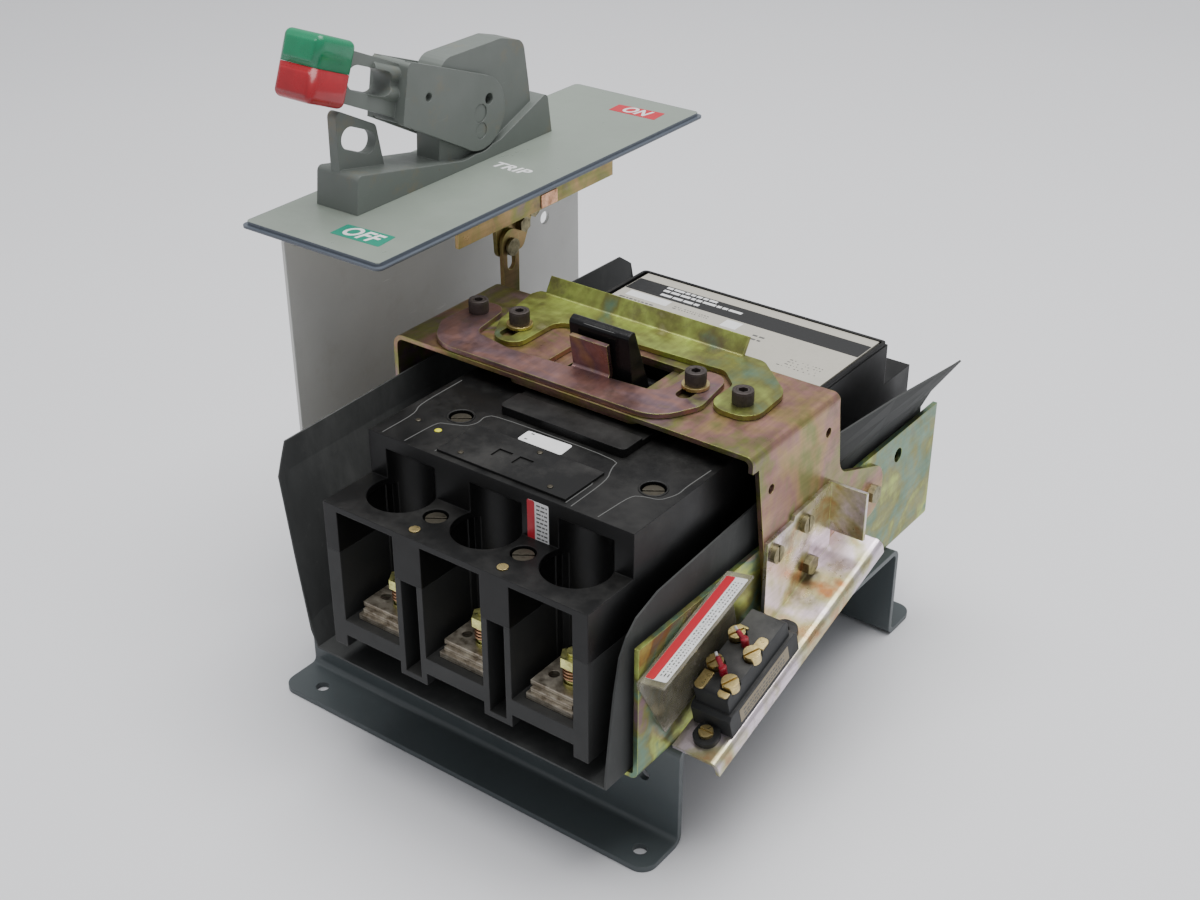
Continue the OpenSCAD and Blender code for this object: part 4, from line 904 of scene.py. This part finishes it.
knob_low, knob_high = along("knob_top")
kx0, kx1 = knob_low[0], knob_high[0]
KNOB = (kx0, -131, -11.2), (kx1, -105, 22.2)
green = block("knob_green_half", *KNOB, 3.6, on_lever, (6.1, 99))
green_panel = block("green_panel", (kx0 + 3, -131.7, 8.2), (kx1 - 3, -128, 19.2), 1.2, on_lever)
red = block("knob_red_half", *KNOB, 3.6, on_lever, (-99, 5.9))
red_panel = block("red_panel", (kx0 + 3, -131.7, -8.2), (kx1 - 3, -128, 3.8), 1.2, on_lever)
green = joined("knob_green_half", [green, green_panel])
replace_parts(dressed(green, knob_green, "handle"), "knob_top")
red = joined("knob_red_half", [red, red_panel])
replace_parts(dressed(red, knob_red, "handle"), "knob_bottom")

# %% [markdown]
# ## The auxiliary switch
# Beside the bracket sits a small switch with brass terminals. Two wires were cut off at its top, red with a pale
# core, and a tan strip of worn print runs along its outer side. All of it leans with the tray, 16.5 degrees.

# %% Switch details
TILT = math.radians(16.5)
TRAY = (168.5, 42.0, DECK + 4)


def on_tray(x, y, z):
    """Tray coordinates: Y up the slope and Z out of it."""
    c, s = math.cos(TILT), math.sin(TILT)
    return at(TRAY[0] + x, TRAY[1] + y * c - z * s, TRAY[2] + y * s + z * c)


def on_switch_side(x, y, z):
    """Strip coordinates on the switch's outer side: x runs up the slope, y across it and z outwards."""
    return on_tray(22.4 + z, x, y)


dressed(plate("switch_strip", box_outline(24, 4.5, 66, 13, 0.5), 0, 0.12, on_switch_side),
        printed("print_tan", (0.30, 0.25, 0.17), 0.6, seed=9), "base")
strip_bars = print_bars("switch_strip_print", 27, 62, (10, 7.6, 5.8), 0.9, 21, 0.12, on_switch_side, 0.8)
dressed(strip_bars, print_ink, "base")


LEADS = [(11.9, 30.5, 2.6, 8), (11.9, 49, 2.9, 7.5)]
SIDEWAYS = (0.3, 0.9, 0.2)
CORE_SHOWS = 2.2


def lead(x, y, turn, length):
    """A short cut wire that rises and leans over: the lean grows with the square of the height."""
    t = np.linspace(0, 1, 14)
    lean = 0.55 * length * t ** 2
    return on_tray(x + lean * math.cos(turn), y + lean * math.sin(turn), 27 + length * t * 0.85)


leads = [tube(f"lead{i}", lead(*wire), 1.25, 12, SIDEWAYS) for i, wire in enumerate(LEADS)]
dressed(joined("switch_lead_stubs", leads), lead_red, "base")
tips = [np.stack([lead(x, y, turn, length)[-1], lead(x, y, turn, length + CORE_SHOWS)[-1]])
        for x, y, turn, length in LEADS]
cores = [tube(f"core{i}", tip, 0.7, 10, SIDEWAYS) for i, tip in enumerate(tips)]
dressed(joined("switch_lead_cores", cores), print_white, "base")


def hex_nut(name, x, y, z, radius, height):
    """Six flats with a chamfered rim: the profile's ends are drawn in by a tenth."""
    a = np.linspace(0, 2 * np.pi, 6, endpoint=False)
    grid = [on_tray(x + radius * k * np.cos(a), y + radius * k * np.sin(a), z + h + 0 * a)
            for k, h in ((0.9, -height), (1, -height * 0.82), (1, -0.02), (0.9, 0))]
    return surface(name, np.stack(grid), ring=True, caps=True, smooth=False)


nuts = [hex_nut(f"nut{i}", 19, y, -2, 3.6, 3.4) for i, y in enumerate((24, 37))]
dressed(joined("tray_nuts", nuts), bolt_zinc, "base")

# %% [markdown]
# ## The guard's sticker
# The clear guard carries a long striped sticker on its sloping flange. The flange leans two ways, so a helper turns
# flat sticker coordinates on to it, and the same plates and bars as before do the rest.

# %% Guard sticker
GUARD = (166.0, 16.0, 114.0)
GUARD_TILT = math.radians(15.8)
GUARD_CROSS_SLOPE = 4 / 15


def on_guard(x, y, z):
    """Sticker coordinates on the guard's sloping flange: x across it, y along it and z off it."""
    c, s = math.cos(GUARD_TILT), math.sin(GUARD_TILT)
    up = x * GUARD_CROSS_SLOPE + z
    return at(GUARD[0] + x, GUARD[1] + y * c - up * s, GUARD[2] + y * s + up * c)


guard_sheet = plate("guard_sticker", box_outline(2.5, 3, 14.4, 69, 1), 0.05, 0.2, on_guard)
guard_band = plate("guard_sticker_band", box_outline(2.6, 3.1, 7.6, 68.9, 0.9), 0.2, 0.27, on_guard)
dressed(guard_sheet, print_white, "base")
dressed(guard_band, print_red, "base")


def along_guard(x, y, z):
    """The same face with x running up the slope and y across it."""
    return on_guard(17 - y, x, z)


guard_bars = print_bars("guard_sticker_print", 6, 66, (3.9, 5.7, 7.5), 0.7, 23, 0.2, along_guard)
dressed(guard_bars, print_ink, "base")

# %% [markdown]
# ## A tag on the frame
# A bright copper-coloured tag is fixed to the plated frame below the faceplate.

# %% Frame tag
frame_low, frame_high = along("mechanism_frame")


def on_frame_side(x, y, z):
    """x runs along the frame to the rear, y up it and z out to the right."""
    return at(frame_high[0] + z, x, y)


tag_shape = box_outline(207, frame_high[2] - 11.5, 221, frame_high[2] - 4, 0.8)
dressed(plate("frame_tag", tag_shape, -0.6, 0.5, on_frame_side), copper, "base")

# %% [markdown]
# ## Floor and light
# A pale floor and three soft lamps: a wide one overhead, one from the front left and a weak one from behind.

# %% Floor and light
floor_finish = Finish("floor_paper", (0.80, 0.80, 0.82), 0.0, 0.55)
floor_finish.gloss(floor_finish.noise(300, 2), 0.5, 0.6)
floor_corners = np.array([[[-6, -6, -0.0002], [6, -6, -0.0002]], [[-6, 6, -0.0002], [6, 6, -0.0002]]], float)
floor = surface("floor", floor_corners, smooth=False)
floor.data.materials.append(floor_finish.material)


def lamp(name, place, aim, size, power, colour=(1, 1, 1)):
    """A square lamp at place that faces aim."""
    data = bpy.data.lights.new(name, "AREA")
    data.shape, data.size, data.energy, data.color = "SQUARE", size, power, colour
    holder = bpy.data.objects.new(name, data)
    forward = np.array(aim, float) - np.array(place, float)
    forward /= np.linalg.norm(forward)
    yaw = math.atan2(forward[0], -forward[1])
    pitch = math.acos(-forward[2])
    holder.location = place
    holder.rotation_euler = (pitch, 0, yaw)
    bpy.context.scene.collection.objects.link(holder)


lamp("overhead", (0.1, 0.2, 1.9), (0, 0, 0.1), 1.6, 52)
lamp("front_left", (-1.2, -1.4, 1.3), (0, 0, 0.12), 1.1, 20)
lamp("behind", (0.9, 1.6, 1.2), (0, 0, 0.15), 1.2, 22)
world = bpy.data.worlds.new("studio")
world.use_nodes = True
world.node_tree.nodes["Background"].inputs["Color"].default_value = (0.86, 0.87, 0.90, 1)
world.node_tree.nodes["Background"].inputs["Strength"].default_value = 0.62
bpy.context.scene.world = world
